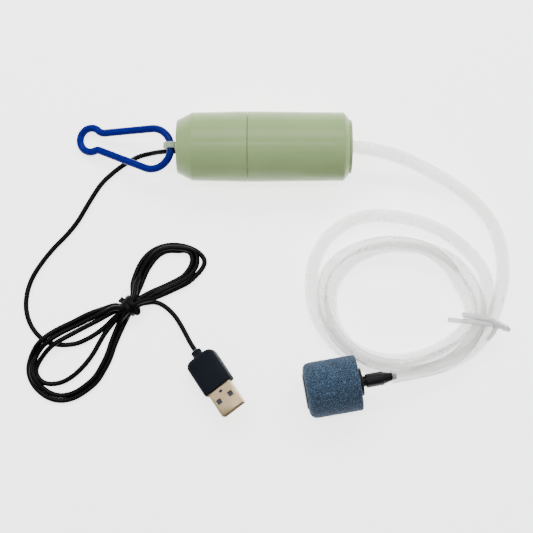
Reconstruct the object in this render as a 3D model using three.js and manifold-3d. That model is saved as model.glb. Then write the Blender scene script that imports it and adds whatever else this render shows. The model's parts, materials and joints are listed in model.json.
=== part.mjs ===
// USB aquarium air pump: a round two-part shell around a small motor and a three-cup diaphragm pump,
// with a hanging hook, its power cable, its air hose and its air stone.
// Millimetres, +Z up. The pump lies on its side along X, and its outlet end faces +X.

import * as THREE from "three";
import { mergeVertices } from "three/addons/utils/BufferGeometryUtils.js";
import Module from "manifold-3d";

const wasm = await Module();
wasm.setup();

// Driving dimensions
const GAP = 0.3; // clearance between pieces that touch
const BODY_RADIUS = 16; // at the seam between the two shells
const BODY_END_RADIUS = 15.5; // at both ends of the cylinder
const BODY_LENGTH = 79.1; // rear face to the outlet cap's face
const SEAM = 32; // from the rear face
const REAR_FACE_RADIUS = 12;
const REAR_CONE = 6.9; // length of the tapered rear end
const WALL = 1.6;
const CAP_RADIUS = 12.2;
const CAP_STAND = 1.3; // how far the cap stands out of the front shell
const HOSE_RADIUS = 3;
const CABLE_RADIUS = 1.2;
const CABLE_HOLE = { y: -1, z: -6.5 }; // from the pump's axis
const EYE = { out: 2.95, y: 0.6, hole: 2.2, radius: 3.5, width: 2.8 };
const WIRE_RADIUS = 1.75; // the hook's plastic wire
const HOOK = { big: 9.3, small: 5.6, spacing: 31.4, limbAngle: 12.2, neck: 4.5, turn: 10.5 };
const HOOK_CENTRE = { x: 9.3, y: -1.05 }; // big loop's centre from the eye, in the hook's plane
const MOTOR_RADIUS = 12.2;
const HEAD_RADIUS = 13.4;
const SHAFT_RADIUS = 1;
const CUP_CIRCLE = 6.8; // radius on which the three pump cups sit
const SCREW_CIRCLE = 9.5;
const OUTLET_CIRCLE = 3.6; // the valve plate's outlet holes
const INLET_CIRCLE = 7.9; // its inlet holes and valves
const WOBBLE = THREE.MathUtils.degToRad(8); // tilt of the drive pin
const WOBBLE_CENTRE = 55; // where the pin's axis crosses the shaft's, from the rear face
const THIRDS = [0, 1, 2].map((k) => (k * 2 * Math.PI) / 3);
const STONE = { x: 54.9, y: -108.9, radius: 12.75, length: 24.5, turn: 9.8, disc: 0.9 };
const PLUG = { x: -7.6, y: -92.6, z: 3.8, yaw: -55.6, pitch: -15, roll: 11 };
const COIL_HEIGHT = 11.2;
const HANK_HEIGHT = 5.2;
const TIE = { x: -37.4, y: -71.9, z: 4.6, turn: 43 }; // middle of the cable's waist
const SHELL_SIDES = 36;
const TURNED_SIDES = 20;
const SMALL_SIDES = 10;

// Finishes
const finish = (color, roughness, metalness = 0) => new THREE.MeshStandardMaterial({ color, roughness, metalness });
const FINISH = {
  sage: finish(0x9fb09f, 0.25),
  paleSage: finish(0xb9c6bb, 0.35),
  blue: finish(0x1b2f9c, 0.35),
  black: finish(0x141418, 0.5),
  steel: finish(0xb8bcc0, 0.3, 1),
  nickel: finish(0xc8bb9c, 0.35, 0.9),
  brass: finish(0xc9a24d, 0.35, 1),
  copper: finish(0xb26a3a, 0.4, 1),
  magnet: finish(0x3a3a3e, 0.6, 0.2),
  white: finish(0xe9e9e4, 0.5),
  rubber: finish(0x2b2b2e, 0.8),
  red: finish(0xa02020, 0.5),
  silicone: finish(0xeaece6, 0.3),
  stone: finish(0x4b6a92, 0.95),
  clear: finish(0xf2f2f0, 0.3),
};

// Geometry tools
function signedVolume(geometry) {
  const flat = geometry.index ? geometry.toNonIndexed() : geometry;
  const at = (i) => new THREE.Vector3().fromBufferAttribute(flat.attributes.position, i);
  let sum = 0;
  for (let i = 0; i < flat.attributes.position.count; i += 3) {
    sum += at(i).dot(at(i + 1).cross(at(i + 2))) / 6;
  }
  return sum;
}

// One closed body with merged corners, its faces turned outwards.
function closed(geometry) {
  const bare = geometry.clone();
  bare.deleteAttribute("normal");
  bare.deleteAttribute("uv");
  const merged = mergeVertices(bare, 1e-4);
  const corners = [...merged.index.array];
  const kept = [];
  const inward = signedVolume(merged) < 0;
  for (let i = 0; i < corners.length; i += 3) {
    const [a, b, c] = corners.slice(i, i + 3);
    if (a === b || b === c || c === a) continue;
    kept.push(...(inward ? [a, c, b] : [a, b, c]));
  }
  merged.setIndex(kept);
  return merged;
}

function toSolid(geometry) {
  const g = closed(geometry);
  const vertProperties = new Float32Array(g.attributes.position.array);
  const triVerts = new Uint32Array(g.index.array);
  return new wasm.Manifold(new wasm.Mesh({ numProp: 3, vertProperties, triVerts }));
}

function toGeometry(solid) {
  const mesh = solid.getMesh();
  const g = new THREE.BufferGeometry();
  g.setAttribute("position", new THREE.BufferAttribute(new Float32Array(mesh.vertProperties), 3));
  g.setIndex([...mesh.triVerts]);
  return g;
}

function join(...geometries) {
  return toGeometry(geometries.map(toSolid).reduce((a, b) => a.add(b)));
}

function cut(geometry, ...tools) {
  return toGeometry(tools.map(toSolid).reduce((a, b) => a.subtract(b), toSolid(geometry)));
}

// A body of revolution about X. The profile is a list of [radius, distance along X].
function turned(profile, sides = TURNED_SIDES) {
  const points = profile.map(([r, x]) => new THREE.Vector2(r, x));
  return closed(new THREE.LatheGeometry(points, sides).rotateZ(-Math.PI / 2));
}

function ring(inner, outer, from, to, sides = TURNED_SIDES) {
  return turned([[inner, from], [outer, from], [outer, to], [inner, to], [inner, from]], sides);
}

function rod(radius, from, to, y = 0, z = 0, sides = SMALL_SIDES) {
  return turned([[0, from], [radius, from], [radius, to], [0, to]], sides).translate(0, y, z);
}

function block(x, y, z) {
  const size = [x, y, z].map(([low, high]) => high - low);
  const middle = [x, y, z].map(([low, high]) => (low + high) / 2);
  return closed(new THREE.BoxGeometry(...size).translate(...middle));
}

// A section drawn across the YZ plane, drawn out along X.
function drawn(shape, from, to, curveSegments = 12) {
  const g = new THREE.ExtrudeGeometry(shape, { depth: to - from, bevelEnabled: false, curveSegments });
  const basis = new THREE.Matrix4().makeBasis(
    new THREE.Vector3(0, 1, 0),
    new THREE.Vector3(0, 0, 1),
    new THREE.Vector3(1, 0, 0),
  );
  return closed(g.applyMatrix4(basis).translate(from, 0, 0));
}

function tube(curve, radius, sides, steps) {
  const section = new THREE.Shape().absarc(0, 0, radius, 0, 2 * Math.PI);
  const options = { extrudePath: curve, steps, bevelEnabled: false, curveSegments: sides / 2 };
  return closed(new THREE.ExtrudeGeometry(section, options));
}

const throughPoints = (points) => new THREE.CatmullRomCurve3(points.map((p) => new THREE.Vector3(...p)));

const onCircle = (radius, angle) => [radius * Math.cos(angle), radius * Math.sin(angle)];

const model = new THREE.Group();

function add(parent, name, geometry, material) {
  const mesh = new THREE.Mesh(geometry, material);
  mesh.name = name;
  parent.add(mesh);
}

// Hook: a gourd-shaped loop of round wire, drawn in its own plane with x along the loop.
// A limb leaves the big loop as a tangent, and a neck arc carries it into the small loop.
function hookLayout() {
  const a = THREE.MathUtils.degToRad(HOOK.limbAngle);
  const lift = (HOOK.big + HOOK.neck) / Math.cos(a);
  const slope = Math.tan(a);
  const reach = HOOK.small + HOOK.neck;
  // The neck arc's centre lies on the limb's parallel, at `reach` from the small loop's centre.
  const A = 1 + slope ** 2;
  const B = -2 * (HOOK.spacing + lift * slope);
  const C = HOOK.spacing ** 2 + lift ** 2 - reach ** 2;
  const x = (-B - Math.sqrt(B ** 2 - 4 * A * C)) / (2 * A);
  const y = lift - x * slope;
  const joinAngle = Math.atan2(y, x - HOOK.spacing);
  return { a, x, y, joinAngle };
}

function hookFramePath() {
  const { a, x, y, joinAngle } = hookLayout();
  const up = Math.PI / 2;
  const path = new THREE.Path();
  path.absarc(0, 0, HOOK.big, up - a + GAP / HOOK.big, 1.5 * Math.PI + a, false);
  path.absarc(x, -y, HOOK.neck, up - a, Math.PI - joinAngle, true);
  path.absarc(HOOK.spacing, 0, HOOK.small, -joinAngle, joinAngle, false);
  path.absarc(x, y, HOOK.neck, Math.PI + joinAngle, 1.5 * Math.PI - a, true);
  return path;
}

function hookGateEnds() {
  const { a, x, y } = hookLayout();
  const root = [HOOK.big * Math.sin(a), HOOK.big * Math.cos(a)];
  const tip = [x - HOOK.neck * Math.sin(a), y - HOOK.neck * Math.cos(a)];
  return { root, tip };
}

function flatTube(points, steps) {
  return tube(throughPoints(points.map((p) => [p.x, p.y, 0])), WIRE_RADIUS, 10, steps);
}

const hookTurn = THREE.MathUtils.degToRad(HOOK.turn);
const smallLoopX = HOOK_CENTRE.x + HOOK.spacing * Math.cos(hookTurn);
const hookLength = smallLoopX + HOOK.small; // from the eye to the far wire's centre, in the hook's plane
const hookSlope = Math.asin((BODY_RADIUS - WIRE_RADIUS) / hookLength);
const hookReach = EYE.out + hookLength * Math.cos(hookSlope) + WIRE_RADIUS;
const REAR_X = (hookReach - BODY_LENGTH) / 2; // centres the pump and its hook on the origin

function addHook() {
  const plane = new THREE.Group();
  plane.position.set(REAR_X - EYE.out, EYE.y, BODY_RADIUS);
  plane.rotation.y = Math.PI - hookSlope;
  const gourd = new THREE.Group();
  gourd.position.set(HOOK_CENTRE.x, HOOK_CENTRE.y, 0);
  gourd.rotation.z = hookTurn;
  const frame = hookFramePath().getSpacedPoints(96);
  add(gourd, "hook", flatTube(frame, 46), FINISH.blue);
  const { root, tip } = hookGateEnds();
  const along = new THREE.Vector2(tip[0] - root[0], tip[1] - root[1]);
  const unit = along.clone().normalize();
  const ends = [GAP, along.length() - GAP].map((d) => new THREE.Vector2(...root).addScaledVector(unit, d));
  add(gourd, "hook_gate", flatTube([ends[0], ends[0].clone().lerp(ends[1], 0.5), ends[1]], 4), FINISH.blue);
  plane.add(gourd);
  model.add(plane);
}

// The pump's own pieces stand on its axis, with x measured from the rear face.
const pump = new THREE.Group();
pump.position.set(REAR_X, 0, BODY_RADIUS);
model.add(pump);

const halfSeam = GAP / 2;
const FRONT_END = BODY_LENGTH - CAP_STAND;

function addShells() {
  const eyeSlot = block([-1, 3], [EYE.y - 1.7, EYE.y + 1.7], [-2.8, 2.8]);
  const cableHole = rod(2.3, -1, 3, CABLE_HOLE.y, CABLE_HOLE.z, 20);
  const rear = turned([
    [0, 0], [REAR_FACE_RADIUS, 0], [BODY_END_RADIUS, REAR_CONE], [BODY_RADIUS, SEAM - halfSeam],
    [BODY_RADIUS - WALL, SEAM - halfSeam], [BODY_END_RADIUS - WALL, REAR_CONE + 1],
    [REAR_FACE_RADIUS - WALL, 2], [0, 2],
  ], SHELL_SIDES);
  add(pump, "rear_shell", cut(rear, eyeSlot, cableHole), FINISH.sage);

  const lip = CAP_RADIUS + GAP;
  const bore = 13.8;
  const spigot = { inner: 13.4, outer: 14.1, from: SEAM - 2.7, to: SEAM + 3 };
  const front = turned([
    [BODY_RADIUS, SEAM + halfSeam], [BODY_END_RADIUS, FRONT_END - 2.5], [lip + GAP, FRONT_END],
    [lip, FRONT_END], [lip, FRONT_END - WALL], [bore, FRONT_END - WALL], [bore, spigot.to + 1],
    [spigot.inner, spigot.to], [spigot.inner, spigot.from], [spigot.outer, spigot.from],
    [spigot.outer, SEAM + halfSeam], [BODY_RADIUS, SEAM + halfSeam],
  ], SHELL_SIDES);
  add(pump, "front_shell", front, FINISH.sage);

  const hole = HOSE_RADIUS + GAP;
  const cap = turned([
    [hole, 74.3], [5, 74.3], [5, 77.3], [11, 77.3], [11, 74.3], [bore - GAP, 74.3],
    [bore - GAP, FRONT_END - WALL - GAP], [CAP_RADIUS, FRONT_END - WALL - GAP],
    [CAP_RADIUS, BODY_LENGTH - 0.4], [CAP_RADIUS - 0.4, BODY_LENGTH], [hole, BODY_LENGTH], [hole, 74.3],
  ], SHELL_SIDES);
  add(pump, "outlet_cap", cap, FINISH.sage);
}

function addRearFittings() {
  const disc = new THREE.CylinderGeometry(EYE.radius, EYE.radius, EYE.width, 24);
  const bore = new THREE.CylinderGeometry(EYE.hole, EYE.hole, EYE.width + 2, 20);
  const half = EYE.width / 2;
  const shank = block([0, 3.6 + EYE.out], [-half, half], [-2.5, 2.5]);
  const flange = block([2.3 + EYE.out, 3.6 + EYE.out], [-2.6, 2.6], [-2.5, 4]);
  const eye = cut(join(disc, shank, flange), bore).translate(-EYE.out, EYE.y, 0);
  add(pump, "hanging_eye", eye, FINISH.paleSage);

  const bush = turned([
    [CABLE_RADIUS + GAP, -0.4], [2, -0.4], [2, 2.3], [3.2, 2.3], [3.2, 3.3],
    [CABLE_RADIUS + GAP, 3.3], [CABLE_RADIUS + GAP, -0.4],
  ], 16).translate(0, CABLE_HOLE.y, CABLE_HOLE.z);
  add(pump, "cable_bush", bush, FINISH.black);
  const stop = ring(CABLE_RADIUS + GAP, 2.8, 3.8, 5.8, 12).translate(0, CABLE_HOLE.y, CABLE_HOLE.z);
  add(pump, "cable_stop", stop, FINISH.white);
}

// Motor: a drawn can with two magnets, a three-pole rotor and a moulded end bell with the brushes.
const MOTOR = { bell: 11.6, canRear: 14.6, canFront: 43.2, coreRear: 20.5, coreFront: 38.5 };

function addMotor() {
  const slots = [-1, 1].map((side) => block([9, 16], sideSpan(side, 6.1, 7.6), [-1.7, 1.7]));
  const bell = turned([
    [2.4, 10.4], [3.6, 10.4], [3.6, MOTOR.bell], [MOTOR_RADIUS, MOTOR.bell], [MOTOR_RADIUS, 14.3],
    [2.4, 14.3], [2.4, 10.4],
  ]);
  add(pump, "motor_end_bell", cut(bell, ...slots), FINISH.white);
  add(pump, "rear_bush", ring(1.3, 2.1, 10.5, 13, 16), FINISH.brass);
  const can = turned([
    [MOTOR_RADIUS, MOTOR.canRear], [MOTOR_RADIUS, 42.6], [11.6, MOTOR.canFront], [3.6, MOTOR.canFront],
    [3.6, 44.6], [2.4, 44.6], [2.4, 42.2], [11.4, 42.2], [11.4, MOTOR.canRear], [MOTOR_RADIUS, MOTOR.canRear],
  ]);
  const screwHoles = [-8.5, 8.5].map((y) => rod(1.2, 41, 46, y));
  add(pump, "motor_can", cut(can, ...screwHoles), FINISH.steel);
  add(pump, "front_bush", ring(1.3, 2.1, 42.2, 44.5, 16), FINISH.brass);

  for (const [k, middle] of [Math.PI / 2, -Math.PI / 2].entries()) {
    const half = THREE.MathUtils.degToRad(65);
    const arc = new THREE.Shape().absarc(0, 0, 11.1, middle - half, middle + half, false);
    arc.absarc(0, 0, 8.9, middle + half, middle - half, true);
    add(pump, `magnet_${k + 1}`, drawn(arc, 19.5, 39.5), FINISH.magnet);
  }

  for (const [side, pole] of [[-1, "negative"], [1, "positive"]]) {
    const strip = block([8, 17.4], sideSpan(side, 6.6, 7.1), [-1.25, 1.25]);
    const brush = block([16.2, 17.4], sideSpan(side, 3.6, 7.1), [-1, 1]);
    add(pump, `brush_terminal_${pole}`, join(strip, brush), FINISH.brass);
    const start = [7.1, CABLE_HOLE.y + side * 0.6, CABLE_HOLE.z];
    const route = [start, [8.2, side * 3, -5.6], [8.6, side * 6, -3.4], [8.4, side * 6.85, -1.7]];
    add(pump, `lead_${pole}`, tube(throughPoints(route), 0.45, 6, 8), side > 0 ? FINISH.red : FINISH.black);
  }
  const screw = (y) => join(rod(0.9, 42.4, 45.4, y), rod(1.9, 45.3, 46.5, y));
  [-8.5, 8.5].forEach((y, k) => add(pump, `motor_screw_${k + 1}`, screw(y), FINISH.steel));
}

function sideSpan(side, near, far) {
  return side > 0 ? [near, far] : [-far, -near];
}

function addRotor() {
  add(pump, "motor_shaft", rod(SHAFT_RADIUS, 9.6, 46.5, 0, 0, 20), FINISH.steel);
  add(pump, "commutator", ring(1.3, 3.2, 15.2, 18.2, 18), FINISH.copper);

  const pole = THREE.MathUtils.degToRad(48);
  const { coreRear, coreFront } = MOTOR;
  const parts = THIRDS.map((turn) => {
    const head = new THREE.Shape().absarc(0, 0, 8.2, -pole, pole, false);
    head.absarc(0, 0, 6.95, pole, -pole, true);
    const neck = block([coreRear, coreFront], [1, 7.4], [-1.3, 1.3]);
    return join(drawn(head, coreRear, coreFront, 8), neck).rotateX(turn);
  });
  const hub = rod(3, coreRear, coreFront, 0, 0, 18);
  add(pump, "armature_core", cut(join(hub, ...parts), rod(1.3, 18, 41, 0, 0, 18)), FINISH.steel);

  THIRDS.forEach((turn, k) => {
    const outer = block([coreRear - 1.8, coreFront + 1.8], [3.4, 5.9], [-3.1, 3.1]);
    const inner = block([coreRear - GAP, coreFront + GAP], [3, 6.5], [-1.6, 1.6]);
    add(pump, `winding_${k + 1}`, cut(outer, inner).rotateX(turn), FINISH.copper);
  });
}

// Drive: the crank carries a tilted pin, so the swing plate on it nods towards each cup in turn.
function tilted(geometry) {
  return geometry.translate(-WOBBLE_CENTRE, 0, 0).rotateY(WOBBLE).translate(WOBBLE_CENTRE, 0, 0);
}

function addDrive() {
  const crank = rod(4.2, 45, 48.6, 0, 0, 24);
  const bore = rod(SHAFT_RADIUS + 0.25, 44, 46.8, 0, 0, 18);
  const pinHole = tilted(rod(1.1, 47.1, 50));
  add(pump, "crank_hub", cut(crank, bore, pinHole), FINISH.white);
  add(pump, "drive_pin", tilted(rod(0.8, 47.4, 52.6)), FINISH.steel);

  const arms = THIRDS.map((turn) => {
    const arm = block([49.7, 50.9], [0, CUP_CIRCLE], [-1.4, 1.4]);
    return join(arm, rod(2.2, 49.7, 50.9, CUP_CIRCLE)).rotateX(turn);
  });
  const holes = THIRDS.map((turn) => rod(1.15, 48, 53, CUP_CIRCLE).rotateX(turn));
  const hub = rod(2.6, 49.3, 52, 0, 0, 20);
  const plate = cut(join(hub, ...arms), rod(1.1, 48, 53), ...holes);
  add(pump, "swing_plate", tilted(plate), FINISH.white);
}

function addPumpHead() {
  const between = THIRDS.map((turn) => turn + Math.PI / 3);
  const screwHoles = between.map((angle) => rod(1.2, 54, 70, ...onCircle(SCREW_CIRCLE, angle)));

  const base = turned([
    [4, 43.5], [HEAD_RADIUS, 43.5], [HEAD_RADIUS, 57.9], [12.2, 57.9], [12.2, 45], [4, 45], [4, 43.5],
  ]);
  const cupPlate = rod(12.6, 55, 57.9, 0, 0, TURNED_SIDES);
  const cupHoles = THIRDS.map((angle) => rod(4.5, 53, 60, ...onCircle(CUP_CIRCLE, angle), 18));
  const motorHoles = [-8.5, 8.5].map((y) => rod(1.2, 42, 46, y));
  add(pump, "pump_head_base", cut(join(base, cupPlate), ...cupHoles, ...screwHoles, ...motorHoles), FINISH.white);

  const cups = THIRDS.map((angle) => {
    const cup = turned([[0, 52.8], [3.2, 52.8], [4.2, 58.4], [0, 58.4]], 18);
    return cup.translate(0, ...onCircle(CUP_CIRCLE, angle));
  });
  const hollows = THIRDS.map((angle) => {
    const hollow = turned([[0, 55], [2.6, 55], [3.6, 60], [0, 60]], 18);
    return hollow.translate(0, ...onCircle(CUP_CIRCLE, angle));
  });
  const stems = THIRDS.map((turn) => tilted(rod(0.8, 49.2, 53.8, CUP_CIRCLE).rotateX(turn)));
  const sheet = rod(HEAD_RADIUS, 58.2, 59.4, 0, 0, TURNED_SIDES);
  add(pump, "diaphragm", cut(join(sheet, ...cups, ...stems), ...hollows, ...screwHoles), FINISH.rubber);

  const outlets = THIRDS.map((angle) => rod(0.8, 59, 63, ...onCircle(OUTLET_CIRCLE, angle)));
  const inlets = THIRDS.map((angle) => rod(0.85, 59, 63, ...onCircle(INLET_CIRCLE, angle)));
  const plate = rod(HEAD_RADIUS, 59.7, 62.2, 0, 0, TURNED_SIDES);
  add(pump, "valve_plate", cut(plate, rod(1.1, 59, 63), ...outlets, ...inlets, ...screwHoles), FINISH.white);

  const umbrella = turned([[0, 60], [0.8, 60], [0.8, 62.5], [4.9, 62.5], [4.6, 62.9], [1.4, 63.4], [0, 63.4]], 20);
  add(pump, "outlet_valve", umbrella, FINISH.rubber);
  THIRDS.forEach((angle, k) => {
    const valve = turned([
      [0, 58.8], [1.5, 58.9], [1.5, 59.4], [0.5, 59.4], [0.5, 62.6], [0.95, 62.6], [0.95, 63.1], [0, 63.1],
    ], 12);
    add(pump, `inlet_valve_${k + 1}`, valve.translate(0, ...onCircle(INLET_CIRCLE, angle)), FINISH.rubber);
  });

  const cover = turned([
    [5.5, 62.5], [HEAD_RADIUS, 62.5], [HEAD_RADIUS, 65.5], [12.4, 66.5], [3, 66.5], [2.3, 67.5], [1.9, 69.5],
    [2.6, 69.7], [1.6, 73.5], [1.1, 73.5], [1.1, 64.8], [5.5, 64.8], [5.5, 62.5],
  ]);
  const inletSlots = THIRDS.map((angle) => block([61, 64], [6.6, 15], [-1.3, 1.3]).rotateX(angle));
  add(pump, "head_cover", cut(cover, ...inletSlots, ...screwHoles), FINISH.white);
  between.forEach((angle, k) => {
    const [y, z] = onCircle(SCREW_CIRCLE, angle);
    add(pump, `head_screw_${k + 1}`, join(rod(0.9, 55.4, 67, y, z), rod(1.8, 66.8, 68.2, y, z)), FINISH.steel);
  });
  add(pump, "foam_sleeve", ring(MOTOR_RADIUS + GAP, 13.1, 17, 40), FINISH.black);
}

// Power cable: out of the rear wall, under the hook, down to the hank and on to the plug.
const CABLE_LEAD = [
  [REAR_X + 6.8, -1, 9.5], [REAR_X, -1, 9.5], [-20, -0.9, 8.9], [-25, -0.8, 5.6], [-29, -1, 2.6],
  [-33.4, -1.8, 1.25], [-37, -3.4, 1.25], [-42, -6.4, 1.25], [-47.5, -10.7, 1.25], [-51.5, -14.6, 1.25],
  [-54.5, -18.8, 1.25], [-58.6, -25.6, 1.25], [-63, -33, 1.25], [-68, -39.2, 1.25], [-73.6, -45, 1.25],
  [-79.2, -52, 1.25], [-83.6, -59.2, 1.25], [-85.8, -66, 1.25], [-86.2, -73, 1.25], [-84.6, -79.4, 1.25],
  [-81.8, -84, 1.25],
];
const CABLE_TAIL = [
  [-26.6, -70.2, 1.25], [-24, -71, 1.25], [-20.4, -73.4, 1.25], [-17, -77, 1.3], [-14.2, -81.3, 1.6],
  [-11.7, -85.8, 2.4], [-9.7, -89.4, 3.1], [-7.8, -92.3, 3.5],
];
// Outline of the hank, seen from above, anticlockwise from its waist.
const HANK_OUTLINE = [
  [-42.2, -69.7], [-50.5, -72], [-58, -75], [-71.8, -81.6], [-81.8, -89.7], [-85.7, -101.5],
  [-81, -111.6], [-69.9, -116.8], [-58, -112.6], [-48.9, -102.7], [-44, -91.8], [-37, -76.8],
  [-33.6, -72.6], [-26, -69.2], [-15.6, -64.8], [-7, -58.7], [-2.2, -52.6], [-5.8, -46], [-13, -42.6],
  [-23.4, -42.8], [-33, -49.4], [-37.8, -58.6],
];

function outlinePoints(points, count) {
  const curve = new THREE.CatmullRomCurve3(points.map(([x, y]) => new THREE.Vector3(x, y, 0)), true);
  return curve.getSpacedPoints(count).slice(0, count).map((p) => new THREE.Vector2(p.x, p.y));
}

function upright(shape, height) {
  return closed(new THREE.ExtrudeGeometry(shape, { depth: height, bevelEnabled: false, curveSegments: 40 }));
}

function addCable() {
  add(model, "usb_cable_lead", tube(throughPoints(CABLE_LEAD), CABLE_RADIUS, 8, 46), FINISH.black);
  add(model, "usb_cable_tail", tube(throughPoints(CABLE_TAIL), CABLE_RADIUS, 8, 14), FINISH.black);

  const turn = THREE.MathUtils.degToRad(TIE.turn);
  const atWaist = (g) => closed(g.rotateZ(turn).translate(TIE.x, TIE.y, TIE.z));
  const tieRoom = atWaist(block([-2.6, 2.6], [-9, 9], [-8, 8]));
  const waist = atWaist(rod(3.6, -8, 8, 0, 0, 16));
  const leadEnd = closed(new THREE.SphereGeometry(2.6, 12, 8).translate(...CABLE_LEAD.at(-1)));
  const lobes = upright(new THREE.Shape(outlinePoints(HANK_OUTLINE, 60)), HANK_HEIGHT);
  const tailEnd = closed(new THREE.SphereGeometry(2.6, 12, 8).translate(...CABLE_TAIL[0]));
  add(model, "usb_cable_bundle", join(cut(lobes, tieRoom, leadEnd, tailEnd), waist), FINISH.black);

  const wraps = ring(3.6 + GAP, TIE.z, -2.2, 2.2, 18);
  const twist = rod(0.55, -1.2, 5.2, 0, 0, 8).rotateZ(-0.5).rotateY(-0.15).translate(0.6, -1.4, 4.55);
  add(model, "cable_tie", join(atWaist(wraps), atWaist(twist)), FINISH.black);
}

function addPlug() {
  const plug = new THREE.Group();
  const degrees = [PLUG.roll, PLUG.pitch, PLUG.yaw].map(THREE.MathUtils.degToRad);
  plug.position.set(PLUG.x, PLUG.y, PLUG.z);
  plug.rotation.set(...degrees, "ZYX");
  model.add(plug);

  const roundedSection = (width, height, r) => {
    const s = new THREE.Shape();
    s.absarc(width / 2 - r, height / 2 - r, r, 0, Math.PI / 2, false);
    s.absarc(-width / 2 + r, height / 2 - r, r, Math.PI / 2, Math.PI, false);
    s.absarc(-width / 2 + r, -height / 2 + r, r, Math.PI, 1.5 * Math.PI, false);
    s.absarc(width / 2 - r, -height / 2 + r, r, 1.5 * Math.PI, 2 * Math.PI, false);
    return s;
  };
  const grip = drawn(roundedSection(15, 7.6, 2), 3.3, 21.2, 4);
  const neck = turned([[0, 0.3], [2.5, 0.3], [2.7, 3.8], [0, 3.8]], 16);
  const socket = drawn(roundedSection(12.6, 5.1, 0.6), 18.9, 22.4, 3);
  add(plug, "usb_overmould", cut(join(grip, neck), socket), FINISH.black);

  const outer = drawn(roundedSection(12, 4.5, 0.6), 19.2, 33.3, 3);
  const inner = drawn(roundedSection(11.2, 3.7, 0.3), 18.4, 34, 3);
  const windows = [-3.2, 3.2].map((y) => block([25.5, 27.9], [y - 1.2, y + 1.2], [-4, 4]));
  const slot = block([22.6, 23.7], [-0.85, 0.85], [0, 4]);
  add(plug, "usb_shell", cut(outer, inner, ...windows, slot), FINISH.nickel);
  add(plug, "usb_tongue", block([19.4, 32.7], [-5.3, 5.3], [-0.2, 1.55]), FINISH.white);
  [-3.5, -1, 1, 3.5].forEach((y, k) => {
    add(plug, `usb_contact_${k + 1}`, block([21.4, 31.7], [y - 0.55, y + 0.55], [-0.8, -0.5]), FINISH.brass);
  });
}

// Air hose: one big arc from the outlet into a tied coil, then over the stone's nipple.
const HOSE_LEAD = [
  [REAR_X + 73.9, 0, 16], [REAR_X + BODY_LENGTH, -0.1, 16], [72, -0.9, 15.7], [81.3, -2.8, 14.2], [90.7, -5.8, 11.4],
  [100.3, -10, 8.2], [110, -15, 5.4], [119.2, -21.4, 3.7], [125.8, -27.9, 3.1], [130.7, -35.6, 3.05],
  [133.5, -43.6, 3.05], [134.5, -51.7, 3.05],
];
const HOSE_TAIL = [[84.5, -103.8, 12.75], [87.4, -103.3, 12.4], [91, -102.6, 11.3], [95.4, -101.9, 9.9]];
const COIL_OUTLINE = [
  [126.6, -50.2], [120.1, -43.6], [110.6, -36], [101.1, -31], [86.1, -26.9], [71.5, -27], [57.9, -31.8],
  [48.2, -41.8], [43.2, -53.2], [42.2, -62.6], [43.4, -73.4], [46.6, -80.6], [50.8, -87.7], [58, -94.8],
  [68.2, -102.4], [79.7, -105.2], [93.4, -105.2], [103.3, -104], [114.4, -99.7], [122, -94.3],
  [126.6, -87.7], [131.2, -77.8], [135.5, -66.8], [137.6, -59.4],
];
const COIL_HOLE = { x: 86.6, y: -71, width: 29.1, height: 23.9 };
const COIL_MOUTH = { low: 131.2, high: 138, y: -52.5 };
const HOSE_TIE = { x: 122.9, y: -77.6, turn: 80, width: 18.4, height: 12.6 };

function addHose() {
  add(model, "air_hose_lead", tube(throughPoints(HOSE_LEAD), HOSE_RADIUS, 12, 26), FINISH.silicone);
  add(model, "air_hose_tail", tube(throughPoints(HOSE_TAIL), HOSE_RADIUS, 12, 4), FINISH.silicone);

  const outline = new THREE.Shape();
  outline.moveTo(COIL_MOUTH.high, COIL_MOUTH.y);
  outline.lineTo(COIL_MOUTH.low, COIL_MOUTH.y);
  outline.splineThru(COIL_OUTLINE.map(([x, y]) => new THREE.Vector2(x, y)));
  const { x, y, width, height } = COIL_HOLE;
  const rim = new THREE.EllipseCurve(x, y, width, height).getSpacedPoints(28).slice(0, 28);
  outline.holes.push(new THREE.Path(rim));
  const band = new THREE.ExtrudeGeometry(outline, { depth: COIL_HEIGHT, bevelEnabled: false, curveSegments: 3 });
  const nippleRoom = block([60, 97], [-112, -98.3], [6, 20]);
  const stoneRoom = rod(STONE.radius + GAP, -14, 13, 0, 0, 40);
  stoneRoom.rotateZ(THREE.MathUtils.degToRad(STONE.turn)).translate(STONE.x, STONE.y, STONE.radius);
  const half = HOSE_TIE.width / 2;
  const held = block([-3, 3], [-half + 3 * GAP, half - 3 * GAP], [3 * GAP, HOSE_TIE.height - 3 * GAP]);
  const tieRoom = atTie(cut(block([-1.6, 1.6], [-half - 4, half + 4], [-1, 20]), held));
  add(model, "air_hose_coil", cut(closed(band), nippleRoom, stoneRoom, tieRoom), FINISH.silicone);
  const strap = block([-1.2, 1.2], [-half, half], [0, HOSE_TIE.height]);
  const inside = block([-3, 3], [-half + 0.6, half - 0.6], [0.6, HOSE_TIE.height - 0.6]);
  add(model, "hose_tie", atTie(cut(strap, inside)), FINISH.clear);
}

// A flat band round the coil's strands, standing across them.
function atTie(geometry) {
  return closed(geometry.rotateZ(THREE.MathUtils.degToRad(HOSE_TIE.turn)).translate(HOSE_TIE.x, HOSE_TIE.y, 0));
}

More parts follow.
